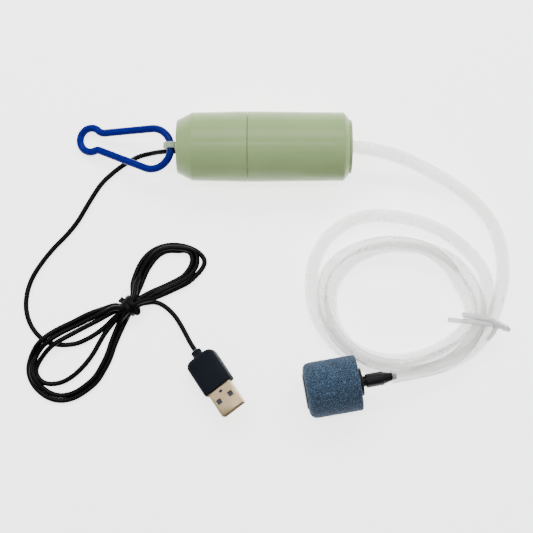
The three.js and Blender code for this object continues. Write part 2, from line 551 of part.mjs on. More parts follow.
// Air stone: a round block of bonded grit with a moulded hose nipple.
function addStone() {
  const stone = new THREE.Group();
  stone.position.set(STONE.x, STONE.y, STONE.radius);
  stone.rotation.z = THREE.MathUtils.degToRad(STONE.turn);
  model.add(stone);
  const half = STONE.length / 2;
  const far = [0, 1, 2, 3].map((k) => (k * Math.PI) / 6);
  const rounded = far.map((t) => [STONE.radius - 4 + 4 * Math.sin(t), -half + 4 - 4 * Math.cos(t)]);
  const body = [[0, -half], ...rounded, [STONE.radius, half - 1.2], [STONE.radius - 1.2, half], [0, half]];
  add(stone, "air_stone", turned(body, 36), FINISH.stone);
  add(stone, "stone_end_disc", rod(8, -half - STONE.disc, -half - GAP, 0, 0, 24), FINISH.black);
  const face = half + GAP;
  const nipple = turned([
    [0, face], [6.3, face], [6.3, face + 1.1], [2.35, face + 1.2], [2.35, face + 2.6], [3.15, face + 2.7],
    [3.15, face + 10.7], [2.7, face + 11], [1.3, face + 16.8], [0.7, face + 16.8], [0.7, face + 4], [0, face + 4],
  ], 20);
  add(stone, "stone_nipple", nipple, FINISH.black);
}

addHook();
addShells();
addRearFittings();
addMotor();
addRotor();
addDrive();
addPumpHead();
addCable();
addPlug();
addHose();
addStone();

export default model;
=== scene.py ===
"""The visible model of a small USB aquarium air pump with its hook, power cable, air hose and air stone.

Lengths in this file are millimetres until a mesh is made, and the mesh is in metres.
"""

import json
import math

import bmesh
import bpy
import numpy as np
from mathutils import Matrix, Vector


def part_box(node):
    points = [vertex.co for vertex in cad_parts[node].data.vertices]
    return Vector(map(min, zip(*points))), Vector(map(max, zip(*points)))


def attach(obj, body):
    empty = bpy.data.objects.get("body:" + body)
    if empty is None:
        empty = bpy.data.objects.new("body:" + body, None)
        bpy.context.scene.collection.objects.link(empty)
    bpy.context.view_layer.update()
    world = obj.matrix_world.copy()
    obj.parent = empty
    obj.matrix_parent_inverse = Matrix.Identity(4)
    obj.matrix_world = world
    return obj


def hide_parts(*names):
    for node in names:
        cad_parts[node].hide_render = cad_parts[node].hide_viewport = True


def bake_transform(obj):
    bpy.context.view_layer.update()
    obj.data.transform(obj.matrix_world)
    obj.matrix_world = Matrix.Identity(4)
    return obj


bl_info = {
    "name": "Aquarium air pump",
    "version": (1, 0, 0),
    "blender": (4, 5, 0),
    "location": "3D View > Sidebar > Air pump",
    "description": "Builds the visible pieces of a USB aquarium air pump round its packed frame",
    "category": "Add Mesh",
}

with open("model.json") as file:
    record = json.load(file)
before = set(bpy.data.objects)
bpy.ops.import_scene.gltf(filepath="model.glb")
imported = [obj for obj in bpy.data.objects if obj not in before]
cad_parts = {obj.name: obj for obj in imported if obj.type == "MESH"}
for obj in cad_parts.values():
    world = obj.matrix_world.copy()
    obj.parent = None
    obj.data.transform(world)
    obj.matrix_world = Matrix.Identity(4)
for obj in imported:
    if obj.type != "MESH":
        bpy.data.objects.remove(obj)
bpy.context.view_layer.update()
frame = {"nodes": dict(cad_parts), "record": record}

MM = 0.001
TAU = 2 * math.pi
FLOOR_GAP = 0.02  # least height of a piece that lies on the floor

REAR_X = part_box("rear_shell")[0][0] / MM  # the pump's rear face
BODY_RADIUS, END_RADIUS = 16.0, 15.5  # at the seam, and where the rear's taper starts
AXIS_HEIGHT = BODY_RADIUS
BODY_LENGTH = 79.1
SEAM = 32.0  # from the rear face
CAP_STAND = 1.3  # how far the cap stands out of the front shell
CABLE_HOLE = (-1.0, -6.5)  # y and z from the pump's axis
EYE_OUT, EYE_Y = 2.95, 0.6  # the eye's hole from the rear face and from the pump's axis
EYE_HOLE, EYE_RADIUS, EYE_HALF_WIDTH = 2.2, 3.5, 1.4

WIRE_RADIUS = 1.75
HOOK_BIG, HOOK_SMALL, HOOK_NECK = 9.3, 5.6, 4.5  # radii of the wire's middle line
HOOK_SPACING = 31.4  # between the two loops' centres
HOOK_LIMB_ANGLE, HOOK_TURN = math.radians(12.2), math.radians(10.5)
HOOK_CENTRE = (9.3, -1.05)  # the big loop's centre from the eye, in the hook's own plane

CABLE_RADIUS = 1.2
STRAND = 2 * CABLE_RADIUS  # between the middle lines of two turns that touch
SINK = 0.02  # how far turns side by side sink into each other, so that no light shows between them
CABLE_REST = 1.25  # height of the cable's middle line on the floor
TIE_PLACE, TIE_TURN = (-37.4, -71.9, 4.6), math.radians(43)
PLUG_PLACE = (-7.6, -92.6, 3.8)
PLUG_ANGLES = [math.radians(a) for a in (11, -15, -55.6)]  # roll, pitch and yaw

HOSE_RADIUS, HOSE_BORE = 3.0, 2.0
COIL_CENTRE = (85.7, -65.85)
HOSE_TIE_PLACE, HOSE_TIE_TURN = (122.9, -77.6), math.radians(80)
STONE_RADIUS, STONE_HALF = 12.75, 12.25
STONE_PLACE, STONE_TURN = (54.9, -108.9, STONE_RADIUS), math.radians(9.8)

CABLE_STEP, HOSE_STEP = 0.8, 1.6  # between two points of a cord's line
CAMERA_TILT = 4.0  # degrees from straight down
AIM = (0.02515, -0.0541, 0.008)  # metres; the point at the middle of the view


# ---------------------------------------------------------------- properties


def colour_property(label, text, value):
    """A linear colour of three values from 0 to 1."""
    return bpy.props.FloatVectorProperty(
        name=label, description=text, default=value, subtype="COLOR", size=3, min=0, max=1
    )


def length_property(label, text, value):
    """A length given in millimetres and kept in metres."""
    return bpy.props.FloatProperty(name=label, description=text, default=value * MM, min=0, unit="LENGTH")


class AirPumpSizes(bpy.types.PropertyGroup):
    """Sizes of the pump's visible pieces that a user would change."""

    hose_radius: length_property("Hose radius", "Outer radius of the air hose", HOSE_RADIUS)
    hose_bore: length_property("Hose bore", "Radius of the air hose's bore", HOSE_BORE)
    cable_radius: length_property("Cable radius", "Radius of the power cable's jacket", CABLE_RADIUS)
    wire_radius: length_property("Hook wire radius", "Radius of the hook's moulded wire", WIRE_RADIUS)
    edge_radius: length_property("Shell edge radius", "Rounding at the shells' seam", 0.3)
    grain_depth: length_property("Grain depth", "How far the stone's grains stand out", 0.22)
    camera_height: bpy.props.FloatProperty(
        name="Camera height", description="Height of the camera over the floor", default=0.55, min=0.1,
        unit="LENGTH",
    )


class AirPumpColours(bpy.types.PropertyGroup):
    """Colours of the pump's visible pieces that a user would change."""

    shell: colour_property("Shell", "Sage green of the pump's body", (0.27, 0.375, 0.165))
    eye: colour_property("Hanging eye", "Pale grey-green of the hanging eye", (0.31, 0.39, 0.29))
    hook: colour_property("Hook", "Blue of the hook's moulding", (0.001, 0.0045, 0.16))
    cable: colour_property("Cable", "Black of the cable's jacket", (0.003, 0.003, 0.0035))
    plug: colour_property("Plug grip", "Near-black navy of the plug's grip", (0.007, 0.009, 0.014))
    nickel: colour_property("Plug metal", "Warm nickel of the plug's shell", (0.50, 0.385, 0.225))
    hose: colour_property("Hose", "Milky tint of the silicone hose", (0.985, 0.99, 0.975))
    stone_light: colour_property("Stone, light grains", "Light grains of the stone", (0.040, 0.080, 0.140))
    stone_dark: colour_property("Stone, dark grains", "Dark grains of the stone", (0.002, 0.004, 0.010))
    fittings: colour_property("Stone fittings", "Black of the nipple and the end disc", (0.006, 0.006, 0.007))
    floor: colour_property("Floor", "Plain pale floor", (0.95, 0.95, 0.95))


def sizes():
    """The scene's sizes, in metres."""
    return bpy.context.scene.air_pump_sizes


def colours():
    """The scene's colours."""
    return bpy.context.scene.air_pump_colours


# ---------------------------------------------------------------- mesh tools


def grid_faces(rows, columns, closed):
    """Quads (r, c), (r, c + 1), (r + 1, c + 1), (r + 1, c). Columns wrap, and rows do when closed."""
    r = np.arange(rows if closed else rows - 1)
    c = np.arange(columns)
    r, c = (a.ravel() for a in np.meshgrid(r, c, indexing="ij"))
    row, after, beside = r * columns, (r + 1) % rows * columns, (c + 1) % columns
    return np.column_stack([row + c, row + beside, after + beside, after + c])


def fan(ring, centre, outwards):
    """Triangles from a ring of vertex numbers to one in its middle."""
    following = np.roll(ring, -1)
    middle = np.full_like(ring, centre)
    return np.column_stack([following, ring, middle] if outwards else [ring, following, middle])


def mesh_piece(name, grid, material, closed=False, sharp=40.0):
    """A mesh of a grid of points, rows x columns, wrapped round its columns. Open rows end in a fan."""
    rows, columns = grid.shape[:2]
    points = grid.reshape(-1, 3)
    faces = grid_faces(rows, columns, closed).tolist()
    if not closed:
        ring = np.arange(columns)
        points = np.vstack([points, grid[0].mean(axis=0), grid[-1].mean(axis=0)])
        faces += fan(ring, rows * columns, True).tolist()
        faces += fan(ring + (rows - 1) * columns, rows * columns + 1, False).tolist()
    mesh = bpy.data.meshes.new(name)
    mesh.from_pydata((points * MM).tolist(), [], faces)
    mesh.validate()
    return object_of(name, mesh, material, sharp)


def object_of(name, mesh, material, sharp=40.0):
    """A smooth object of a mesh, with hard edges where two faces meet at more than an angle."""
    turn_outwards(mesh)
    mesh.shade_smooth()
    mesh.set_sharp_from_angle(angle=math.radians(sharp))
    if material is not None:
        mesh.materials.append(material)
    piece = bpy.data.objects.new(name, mesh)
    bpy.context.scene.collection.objects.link(piece)
    return piece


def turn_outwards(mesh):
    """Turns the faces round if the signed volume, the sum of a . (b x c) over the triangles, is negative."""
    corners = np.empty(len(mesh.vertices) * 3)
    mesh.vertices.foreach_get("co", corners)
    corners = corners.reshape(-1, 3)
    mesh.calc_loop_triangles()
    triangles = np.empty(len(mesh.loop_triangles) * 3, dtype=int)
    mesh.loop_triangles.foreach_get("vertices", triangles)
    a, b, c = (corners[triangles.reshape(-1, 3)[:, k]] for k in range(3))
    if np.einsum("ij,ij->i", a, np.cross(b, c)).sum() < 0:
        mesh.flip_normals()
    mesh.update()


def carve(piece, *cutters):
    """Cuts each cutter's shape out of a piece and removes the cutters."""
    for cutter in cutters:
        cut = piece.modifiers.new("carve", "BOOLEAN")
        cut.operation = "DIFFERENCE"
        cut.solver = "EXACT"
        cut.object = cutter
    graph = bpy.context.evaluated_depsgraph_get()
    made = bpy.data.meshes.new_from_object(piece.evaluated_get(graph))
    piece.modifiers.clear()
    piece.data = made
    made.set_sharp_from_angle(angle=math.radians(32))
    for cutter in cutters:
        bpy.data.objects.remove(cutter)
    return piece


def block(name, low, high, place=None):
    """A box between two corners, as a grid of two rounds of four points."""
    (x0, y0, z0), (x1, y1, z1) = low, high
    ring = np.array([[y0, z0], [y1, z0], [y1, z1], [y0, z1]])
    grid = np.stack([np.column_stack([np.full(4, x), ring]) for x in (x0, x1)])
    return mesh_piece(name, grid if place is None else place(grid), None)


def arc(centre, radius, start, end, count):
    """Points centre + radius (cos t, sin t), with t between two angles."""
    t = np.linspace(start, end, count)
    return np.column_stack([centre[0] + radius * np.cos(t), centre[1] + radius * np.sin(t)])


def softened(corners, radii, steps=5, closed=False):
    """A line with each corner rounded between the two points where an arc of its radius would touch.

    Each is (1 - t)^2 a + 2 t (1 - t) corner + t^2 b, which is close to the arc, and the touching points are
    radius / tan(half the corner's angle) from the corner.
    """
    corners = np.asarray(corners, dtype=float)
    count = len(corners)
    made = []
    for k, radius in enumerate(radii):
        here = corners[k]
        if radius == 0 or (not closed and k in (0, count - 1)):
            made.append(here[None])
            continue
        back, ahead = corners[k - 1] - here, corners[(k + 1) % count] - here
        room = min(np.linalg.norm(back), np.linalg.norm(ahead)) * 0.5
        back, ahead = back / np.linalg.norm(back), ahead / np.linalg.norm(ahead)
        half = math.acos(np.clip(back @ ahead, -1, 1)) / 2
        reach = min(radius / math.tan(half), room)
        t = np.linspace(0, 1, steps + 1)[:, None]
        before, after = here + back * reach, here + ahead * reach
        made.append((1 - t) ** 2 * before + 2 * t * (1 - t) * here + t**2 * after)
    return np.vstack(made)


def turned(profile, sides):
    """Points (x, r) carried round the X axis: (x, r cos t, r sin t)."""
    angle = np.linspace(0, TAU, sides, endpoint=False)
    x = np.repeat(profile[:, :1], sides, axis=1)
    return np.stack([x, profile[:, 1:] * np.cos(angle), profile[:, 1:] * np.sin(angle)], axis=-1)


def on_pump(grid):
    """From the pump's own axes, at the middle of its rear face: point + (rear x, 0, axis height)."""
    return grid + np.array([REAR_X, 0, AXIS_HEIGHT])


def on_stone(grid):
    """A turn about Z and a move to the stone's middle: (x cos t - y sin t, x sin t + y cos t, z) + place."""
    c, s = math.cos(STONE_TURN), math.sin(STONE_TURN)
    x, y, z = grid[..., 0], grid[..., 1], grid[..., 2]
    return np.stack([x * c - y * s, x * s + y * c, z], axis=-1) + np.array(STONE_PLACE)


def plug_turn():
    """The plug's three turns as one matrix: roll about X, then pitch about Y, then yaw about Z."""
    (cr, sr), (cp, sp), (cy, sy) = [(math.cos(a), math.sin(a)) for a in PLUG_ANGLES]
    roll = np.array([[1, 0, 0], [0, cr, -sr], [0, sr, cr]])
    pitch = np.array([[cp, 0, sp], [0, 1, 0], [-sp, 0, cp]])
    yaw = np.array([[cy, -sy, 0], [sy, cy, 0], [0, 0, 1]])
    return yaw @ pitch @ roll


def on_plug(grid):
    """A turn and a move to where the cable enters the plug: matrix point + place."""
    return grid @ plug_turn().T + np.array(PLUG_PLACE)


def through(points, spacing):
    """A smooth line through points a, b and so on, cut into equal steps.

    Each piece is (2t^3 - 3t^2 + 1) a + (t^3 - 2t^2 + t) m_a + (3t^2 - 2t^3) b + (t^3 - t^2) m_b, and the
    tangents m are centripetal: they count the square root of each distance.
    """
    p = np.asarray(points, dtype=float)
    d = np.sqrt(np.linalg.norm(np.diff(p, axis=0), axis=1))[:, None]
    slope = np.diff(p, axis=0) / d
    inner = slope[:-1] - (p[2:] - p[:-2]) / (d[:-1] + d[1:]) + slope[1:]
    tangent = np.vstack([slope[:1], inner, slope[-1:]])
    t = np.linspace(0, 1, 24, endpoint=False)[None, :, None]
    a, b = p[:-1, None], p[1:, None]
    ma, mb = (tangent[:-1] * d)[:, None], (tangent[1:] * d)[:, None]
    line = (2 * t**3 - 3 * t**2 + 1) * a + (t**3 - 2 * t**2 + t) * ma
    line = line + (3 * t**2 - 2 * t**3) * b + (t**3 - t**2) * mb
    return even(np.vstack([line.reshape(-1, 3), p[-1:]]), spacing)


def even(line, spacing):
    """The same line with its points at equal steps along it: straight interpolation over the summed length."""
    along = np.concatenate([[0], np.cumsum(np.linalg.norm(np.diff(line, axis=0), axis=1))])
    at = np.linspace(0, along[-1], max(2, int(round(along[-1] / spacing)) + 1))
    return np.column_stack([np.interp(at, along, line[:, k]) for k in range(line.shape[1])])


def eased(line, window):
    """Each point is the mean of those within a window, weighted by (1 + cos) / 2, and the two ends stay."""
    half = window // 2
    padded = np.vstack([2 * line[0] - line[half:0:-1], line, 2 * line[-1] - line[-2 : -half - 2 : -1]])
    kernel = np.hanning(2 * half + 3)[1:-1]
    kernel /= kernel.sum()
    return np.column_stack([np.convolve(padded[:, k], kernel, mode="valid") for k in range(3)])


def frames_along(line, up=(0, 0, 1)):
    """Tangent, side = up x tangent and top = tangent x side at each point of a line, all of length one."""
    tangent = np.gradient(line, axis=0)
    tangent /= np.linalg.norm(tangent, axis=1)[:, None]
    side = np.cross(np.asarray(up, dtype=float), tangent)
    side /= np.linalg.norm(side, axis=1)[:, None]
    return tangent, side, np.cross(tangent, side)


def swept(line, section, up=(0, 0, 1), scale=None):
    """A flat section of points (u, v) carried along a line: line + scale (u side + v top)."""
    _, side, top = frames_along(line, up)
    size = np.ones(len(line)) if scale is None else scale
    s = section[None] * size[:, None, None]
    return line[:, None] + s[..., :1] * side[:, None] + s[..., 1:] * top[:, None]


def circle(radius, sides):
    """A whole circle: radius (cos t, sin t)."""
    return arc((0, 0), radius, 0, TAU, sides + 1)[:-1]


def rounded_rectangle(half_width, half_height, radius, steps=5):
    """Four quarter circles about (+-(half width - radius), +-(half height - radius)), anticlockwise."""
    radius = min(radius, half_width, half_height)
    w, h = half_width - radius, half_height - radius
    quarter = math.pi / 2
    corners = [(w, h), (-w, h), (-w, -h), (w, -h)]
    return np.vstack([arc(c, radius, k * quarter, (k + 1) * quarter, steps) for k, c in enumerate(corners)])


def lofted(stations):
    """Rows of (x, half width, half height, corner radius) as rounded rectangles (x, u, v) across X."""
    rings = [rounded_rectangle(*station[1:]) for station in stations]
    return np.stack([np.column_stack([np.full(len(ring), x), ring]) for ring, (x, *_) in zip(rings, stations)])


# ---------------------------------------------------------------- material tools


def surface(name, base, roughness, metallic=0.0, **sockets):
    """A material with its constant values set on the shader's own sockets."""
    material = bpy.data.materials.new(name)
    material.use_nodes = True
    shader = material.node_tree.nodes["Principled BSDF"]
    shader.inputs["Base Color"].default_value = (*base, 1)
    shader.inputs["Roughness"].default_value = roughness
    shader.inputs["Metallic"].default_value = metallic
    for socket, value in sockets.items():
        shader.inputs[socket.replace("_", " ")].default_value = value
    return material


def noise(material, scale, detail=3.0, stretch=(1, 1, 1), kind="ShaderNodeTexNoise"):
    """A pattern on Object coordinates, with its own stretch. Its features are about 1 / scale metres."""
    nodes, links = material.node_tree.nodes, material.node_tree.links
    place = nodes.new("ShaderNodeTexCoord")
    mapping = nodes.new("ShaderNodeMapping")
    mapping.inputs["Scale"].default_value = stretch
    texture = nodes.new(kind)
    texture.inputs["Scale"].default_value = scale
    if kind == "ShaderNodeTexNoise":
        texture.inputs["Detail"].default_value = detail
    links.new(place.outputs["Object"], mapping.inputs["Vector"])
    links.new(mapping.outputs["Vector"], texture.inputs["Vector"])
    return texture


def ramp(material, source, stops):
    """A colour ramp over a pattern: stops are (position, colour)."""
    node = material.node_tree.nodes.new("ShaderNodeValToRGB")
    band = node.color_ramp
    while len(band.elements) < len(stops):
        band.elements.new(0.5)
    for element, (position, colour) in zip(band.elements, stops):
        element.position = position
        element.color = (*colour, 1)
    material.node_tree.links.new(source, node.inputs["Fac"])
    return node.outputs["Color"]


def tint(material, texture, dark, light, low=0.35, high=0.65):
    """The base colour goes from dark to light as the pattern goes from low to high."""
    shader = material.node_tree.nodes["Principled BSDF"]
    colour = ramp(material, texture.outputs[0], [(low, dark), (high, light)])
    material.node_tree.links.new(colour, shader.inputs["Base Color"])


def vary_roughness(material, texture, low, high):
    """The roughness goes from low to high over the middle of the pattern's range."""
    nodes, links = material.node_tree.nodes, material.node_tree.links
    span = nodes.new("ShaderNodeMapRange")
    span.inputs["From Min"].default_value = 0.3
    span.inputs["From Max"].default_value = 0.7
    span.inputs["To Min"].default_value = low
    span.inputs["To Max"].default_value = high
    links.new(texture.outputs[0], span.inputs["Value"])
    links.new(span.outputs["Result"], nodes["Principled BSDF"].inputs["Roughness"])


def relief(material, texture, depth, strength=1.0):
    """A bump of a depth in millimetres."""
    nodes, links = material.node_tree.nodes, material.node_tree.links
    bump = nodes.new("ShaderNodeBump")
    bump.inputs["Strength"].default_value = strength
    bump.inputs["Distance"].default_value = depth * MM
    links.new(texture.outputs[0], bump.inputs["Height"])
    links.new(bump.outputs["Normal"], nodes["Principled BSDF"].inputs["Normal"])


def shade(colour, amount):
    """A colour times an amount, at most 1."""
    return tuple(min(1.0, c * amount) for c in colour)


def plastic(name, base, roughness, spread=0.06, grain=900.0, depth=0.004, **sockets):
    """Moulded plastic: faint drift of colour, a fine skin and small changes of gloss."""
    material = surface(name, base, roughness, **sockets)
    drift = noise(material, 45.0, 2.0)
    tint(material, drift, shade(base, 1 - spread), shade(base, 1 + spread))
    vary_roughness(material, noise(material, 160.0, 4.0), roughness * 0.82, roughness * 1.2)
    relief(material, noise(material, grain, 2.0), depth)
    return material


def metal(name, base, roughness, stretch=(1, 1, 1), grain=600.0, depth=0.003):
    """Plated or drawn metal: fine lines along its stretch and a slight drift of gloss."""
    material = surface(name, base, roughness, 1.0)
    lines = noise(material, grain, 4.0, stretch)
    tint(material, noise(material, 80.0, 3.0), shade(base, 0.94), shade(base, 1.04))
    vary_roughness(material, lines, roughness * 0.85, roughness * 1.2)
    relief(material, lines, depth)
    return material


def stone_grit():
    """Bonded grit: specks from near-black to pale blue, and small cells in relief."""
    c = colours()
    material = surface("stone_grit", c.stone_light, 0.92)
    nodes, links = material.node_tree.nodes, material.node_tree.links
    cells = noise(material, 2200.0, kind="ShaderNodeTexVoronoi")
    middle = tuple((a + b) * 0.42 for a, b in zip(c.stone_light, c.stone_dark))
    speck = noise(material, 2600.0, 3.0)
    stops = [(0.38, c.stone_dark), (0.5, middle), (0.58, c.stone_light), (0.70, shade(c.stone_light, 3.0))]
    colour = ramp(material, speck.outputs[0], stops)
    links.new(colour, nodes["Principled BSDF"].inputs["Base Color"])
    relief(material, cells, depth=0.12, strength=0.8)
    return material


def silicone():
    """Milky silicone: most of the light goes through, blurred, and the rest is scattered."""
    c = colours()
    material = surface(
        "hose_silicone", c.hose, 0.28,
        Transmission_Weight=0.85, IOR=1.2, Specular_IOR_Level=0.3,
    )
    tint(material, noise(material, 30.0, 2.0), shade(c.hose, 0.985), shade(c.hose, 1.02))
    vary_roughness(material, noise(material, 120.0, 3.0), 0.22, 0.36)
    relief(material, noise(material, 140.0, 1.0), 0.004)
    return material


# ---------------------------------------------------------------- the two cords' routes

# Points of the middle lines, in metres
CABLE_LEAD = [
    (-0.00865, -0.001, 0.0095), (-0.01545, -0.001, 0.0095), (-0.020, -0.0009, 0.0089),
    (-0.025, -0.0008, 0.0056), (-0.029, -0.001, 0.0026), (-0.0334, -0.0018, 0.00125),
    (-0.037, -0.0034, 0.00125), (-0.042, -0.0064, 0.00125), (-0.0475, -0.0107, 0.00125),
    (-0.0515, -0.0146, 0.00125), (-0.0545, -0.0188, 0.00125), (-0.0586, -0.0256, 0.00125),
    (-0.063, -0.033, 0.00125), (-0.068, -0.0392, 0.00125), (-0.0736, -0.045, 0.00125),
    (-0.0792, -0.052, 0.00125), (-0.0836, -0.0592, 0.00125), (-0.0858, -0.066, 0.00125),
    (-0.0862, -0.073, 0.00125), (-0.0846, -0.0794, 0.00125), (-0.0818, -0.084, 0.00125),
]
CABLE_UNDER_HANK = [
    (-0.0772, -0.0882, 0.00125), (-0.0715, -0.0898, 0.00125), (-0.0679, -0.0900, 0.00125),
    (-0.0626, -0.0893, 0.00125), (-0.0573, -0.0870, 0.00125), (-0.0531, -0.0844, 0.00125),
    (-0.0490, -0.0812, 0.00150), (-0.0446, -0.0771, 0.0030),
]
CABLE_TAIL = [
    (-0.0297, -0.0705, 0.0022), (-0.0266, -0.0702, 0.00125), (-0.024, -0.071, 0.00125),
    (-0.0204, -0.0734, 0.00125), (-0.017, -0.077, 0.0013), (-0.0142, -0.0813, 0.0016),
    (-0.0117, -0.0858, 0.0024), (-0.0097, -0.0894, 0.0031), (-0.0078, -0.0923, 0.0035),
]
# The hank's two lobes in millimetres, anticlockwise from above: (outer turn x, y, inner turn x, y)
RIGHT_LOBE = np.array([
    (-27.1, -68.5, -28.4, -65.6), (-21.9, -66.3, -23.6, -63.4), (-16.5, -63.8, -18.3, -60.9),
    (-11.2, -61.1, -13.4, -58.1), (-7.6, -57.9, -10.8, -54.9), (-4.6, -54.4, -9.4, -52.0),
    (-3.5, -51.2, -9.3, -49.4), (-5.4, -48.0, -10.3, -47.2), (-9.8, -45.2, -12.6, -46.2),
    (-15.0, -43.8, -15.8, -46.4), (-20.5, -43.7, -20.8, -46.4), (-25.6, -45.1, -24.6, -48.2),
    (-30.0, -48.0, -27.8, -51.7), (-33.2, -52.0, -30.2, -55.4), (-35.3, -56.5, -31.9, -59.4),
    (-36.8, -61.8, -33.5, -63.5),
])
LEFT_LOBE = np.array([
    (-44.7, -71.6, -44.6, -74.2), (-50.0, -73.1, -48.8, -76.4), (-57.1, -75.6, -53.9, -79.2),
    (-64.2, -79.2, -60.7, -82.7), (-71.3, -82.7, -67.7, -86.6), (-76.6, -86.2, -73.4, -90.2),
    (-80.9, -90.5, -77.6, -94.6), (-83.7, -95.8, -80.4, -98.8), (-84.7, -101.5, -81.3, -102.2),
    (-83.2, -106.9, -79.8, -105.6), (-79.6, -111.4, -76.8, -107.6), (-74.8, -114.5, -72.8, -107.9),
    (-69.4, -115.6, -68.6, -106.9), (-63.6, -114.4, -64.2, -104.3), (-57.8, -111.0, -60.4, -100.9),
    (-53.0, -106.8, -57.2, -97.2), (-49.6, -101.4, -54.4, -93.1), (-47.0, -96.2, -52.1, -88.9),
    (-45.2, -90.8, -49.7, -84.8), (-43.1, -85.6, -46.9, -81.1), (-41.0, -80.9, -44.3, -78.0),
    (-39.2, -77.6, -41.6, -75.9),
])
# Where each pass lies in the tied waist: (across towards the upper left, height)
WAIST_LEAD = (0.0, 4.6)
WAIST_TO_LEFT = [(1.2, 2.52), (1.2, 6.68), (2.4, 4.6)]
WAIST_TO_RIGHT = [(-1.2, 2.52), (-1.2, 6.68), (-2.4, 4.6)]
WAIST_HALF = 3.0
WAIST_SHARE = 0.35  # how much of the waist's height is left at a lobe's first and last points
HANK_START = 235.0  # along the cable, past the stretch that the hank lies on
LEAD_CORNER = (-69.0, -76.0)  # the left lobe crosses the lead beyond this x and y
HUMP_REACH = 10.0


def at_waist(along, across, height):
    """A point of the tied waist: place + along (cos t, sin t) + across (-sin t, cos t)."""
    c, s = math.cos(TIE_TURN), math.sin(TIE_TURN)
    return (TIE_PLACE[0] + along * c - across * s, TIE_PLACE[1] + along * s + across * c, height)


def lobe_turn(lobe, share, first, last):
    """One turn of a lobe, a share of the way from its outer line to its inner line.

    The middle turn lies beside the outer line of the left lobe and beside the inner line of the right
    lobe. Where the lines are close it rests in the groove between them: its height over them is the
    third side of the triangle whose slope is one diameter and whose base is its distance from one line.
    """
    outer, inner = lobe[:, :2], lobe[:, 2:]
    apart = np.maximum(np.linalg.norm(inner - outer, axis=1), STRAND)
    if share == 0.5:
        beside = np.minimum(0.5, (STRAND - SINK) / apart)
        share = beside if lobe is LEFT_LOBE else 1 - beside
        groove = np.sqrt(np.maximum(0, STRAND**2 - (apart * beside) ** 2))
    else:
        groove = 0 * apart
    plan = outer + (inner - outer) * np.broadcast_to(share, len(outer))[:, None]
    height = CABLE_REST + groove
    height[0] += WAIST_SHARE * (first - CABLE_REST)
    height[-1] += WAIST_SHARE * (last - CABLE_REST)
    return np.column_stack([plan, height])


def hank_points():
    """Three turns of the hank from the inside out, each over the right lobe and then the left lobe."""
    made = [np.array([at_waist(-WAIST_HALF, *WAIST_LEAD)])]
    entry = WAIST_LEAD
    for share, leftwards, rightwards in zip((1.0, 0.5, 0.0), WAIST_TO_LEFT, WAIST_TO_RIGHT):
        made.append(np.array([at_waist(WAIST_HALF, *entry)]))
        made.append(lobe_turn(RIGHT_LOBE, share, entry[1], leftwards[1]))
        made.append(np.array([at_waist(WAIST_HALF, *leftwards), at_waist(-WAIST_HALF, *leftwards)]))
        made.append(lobe_turn(LEFT_LOBE, share, leftwards[1], rightwards[1]))
        made.append(np.array([at_waist(-WAIST_HALF, *rightwards)]))
        entry = rightwards
    made.append(np.array([at_waist(WAIST_HALF, *entry)]))
    return np.vstack(made)


def over_lead(line, lead, clear):
    """Lifts a line where it crosses the lead: height = rest + clear (1 - (distance / reach)^2)^2."""
    apart = np.linalg.norm(line[:, None, :2] - lead[None, :, :2], axis=2).min(axis=1)
    bell = np.maximum(0, 1 - (apart / HUMP_REACH) ** 2) ** 2
    lifted = line.copy()
    lifted[:, 2] = np.maximum(lifted[:, 2], CABLE_REST + clear * bell)
    return lifted


def cable_line():
    """The cable's middle line: the lead, the hank over it, and the tail to the plug."""
    start = np.array(CABLE_LEAD + CABLE_UNDER_HANK) / MM
    end = np.array(CABLE_TAIL) / MM
    line = through(np.vstack([start, hank_points(), end]), CABLE_STEP)
    lead = through(start, 1.0)
    crossed = lead[(lead[:, :2] < LEAD_CORNER).all(axis=1)]
    in_hank = np.arange(len(line)) * CABLE_STEP > HANK_START
    line[in_hank] = over_lead(line[in_hank], crossed, STRAND)
    line = eased(line, 5)
    line[:, 2] = np.maximum(line[:, 2], CABLE_RADIUS + FLOOR_GAP)
    return line


HOSE_LEAD = [
    (0.05845, 0, 0.016), (0.06365, -0.0001, 0.016), (0.072, -0.0009, 0.0157), (0.0813, -0.0028, 0.0142),
    (0.0907, -0.0058, 0.0114), (0.1003, -0.010, 0.0082), (0.110, -0.015, 0.0054), (0.1192, -0.0214, 0.0037),
    (0.1258, -0.0279, 0.0031), (0.1307, -0.0356, 0.00305), (0.1335, -0.0436, 0.00305),
    (0.1345, -0.0517, 0.0032),
]
HOSE_TAIL = [
    (0.0954, -0.1019, 0.0099), (0.091, -0.1026, 0.0113), (0.0874, -0.1033, 0.0124),
    (0.0838, -0.1039, 0.01275), (0.0818, -0.1042, 0.01275),
]
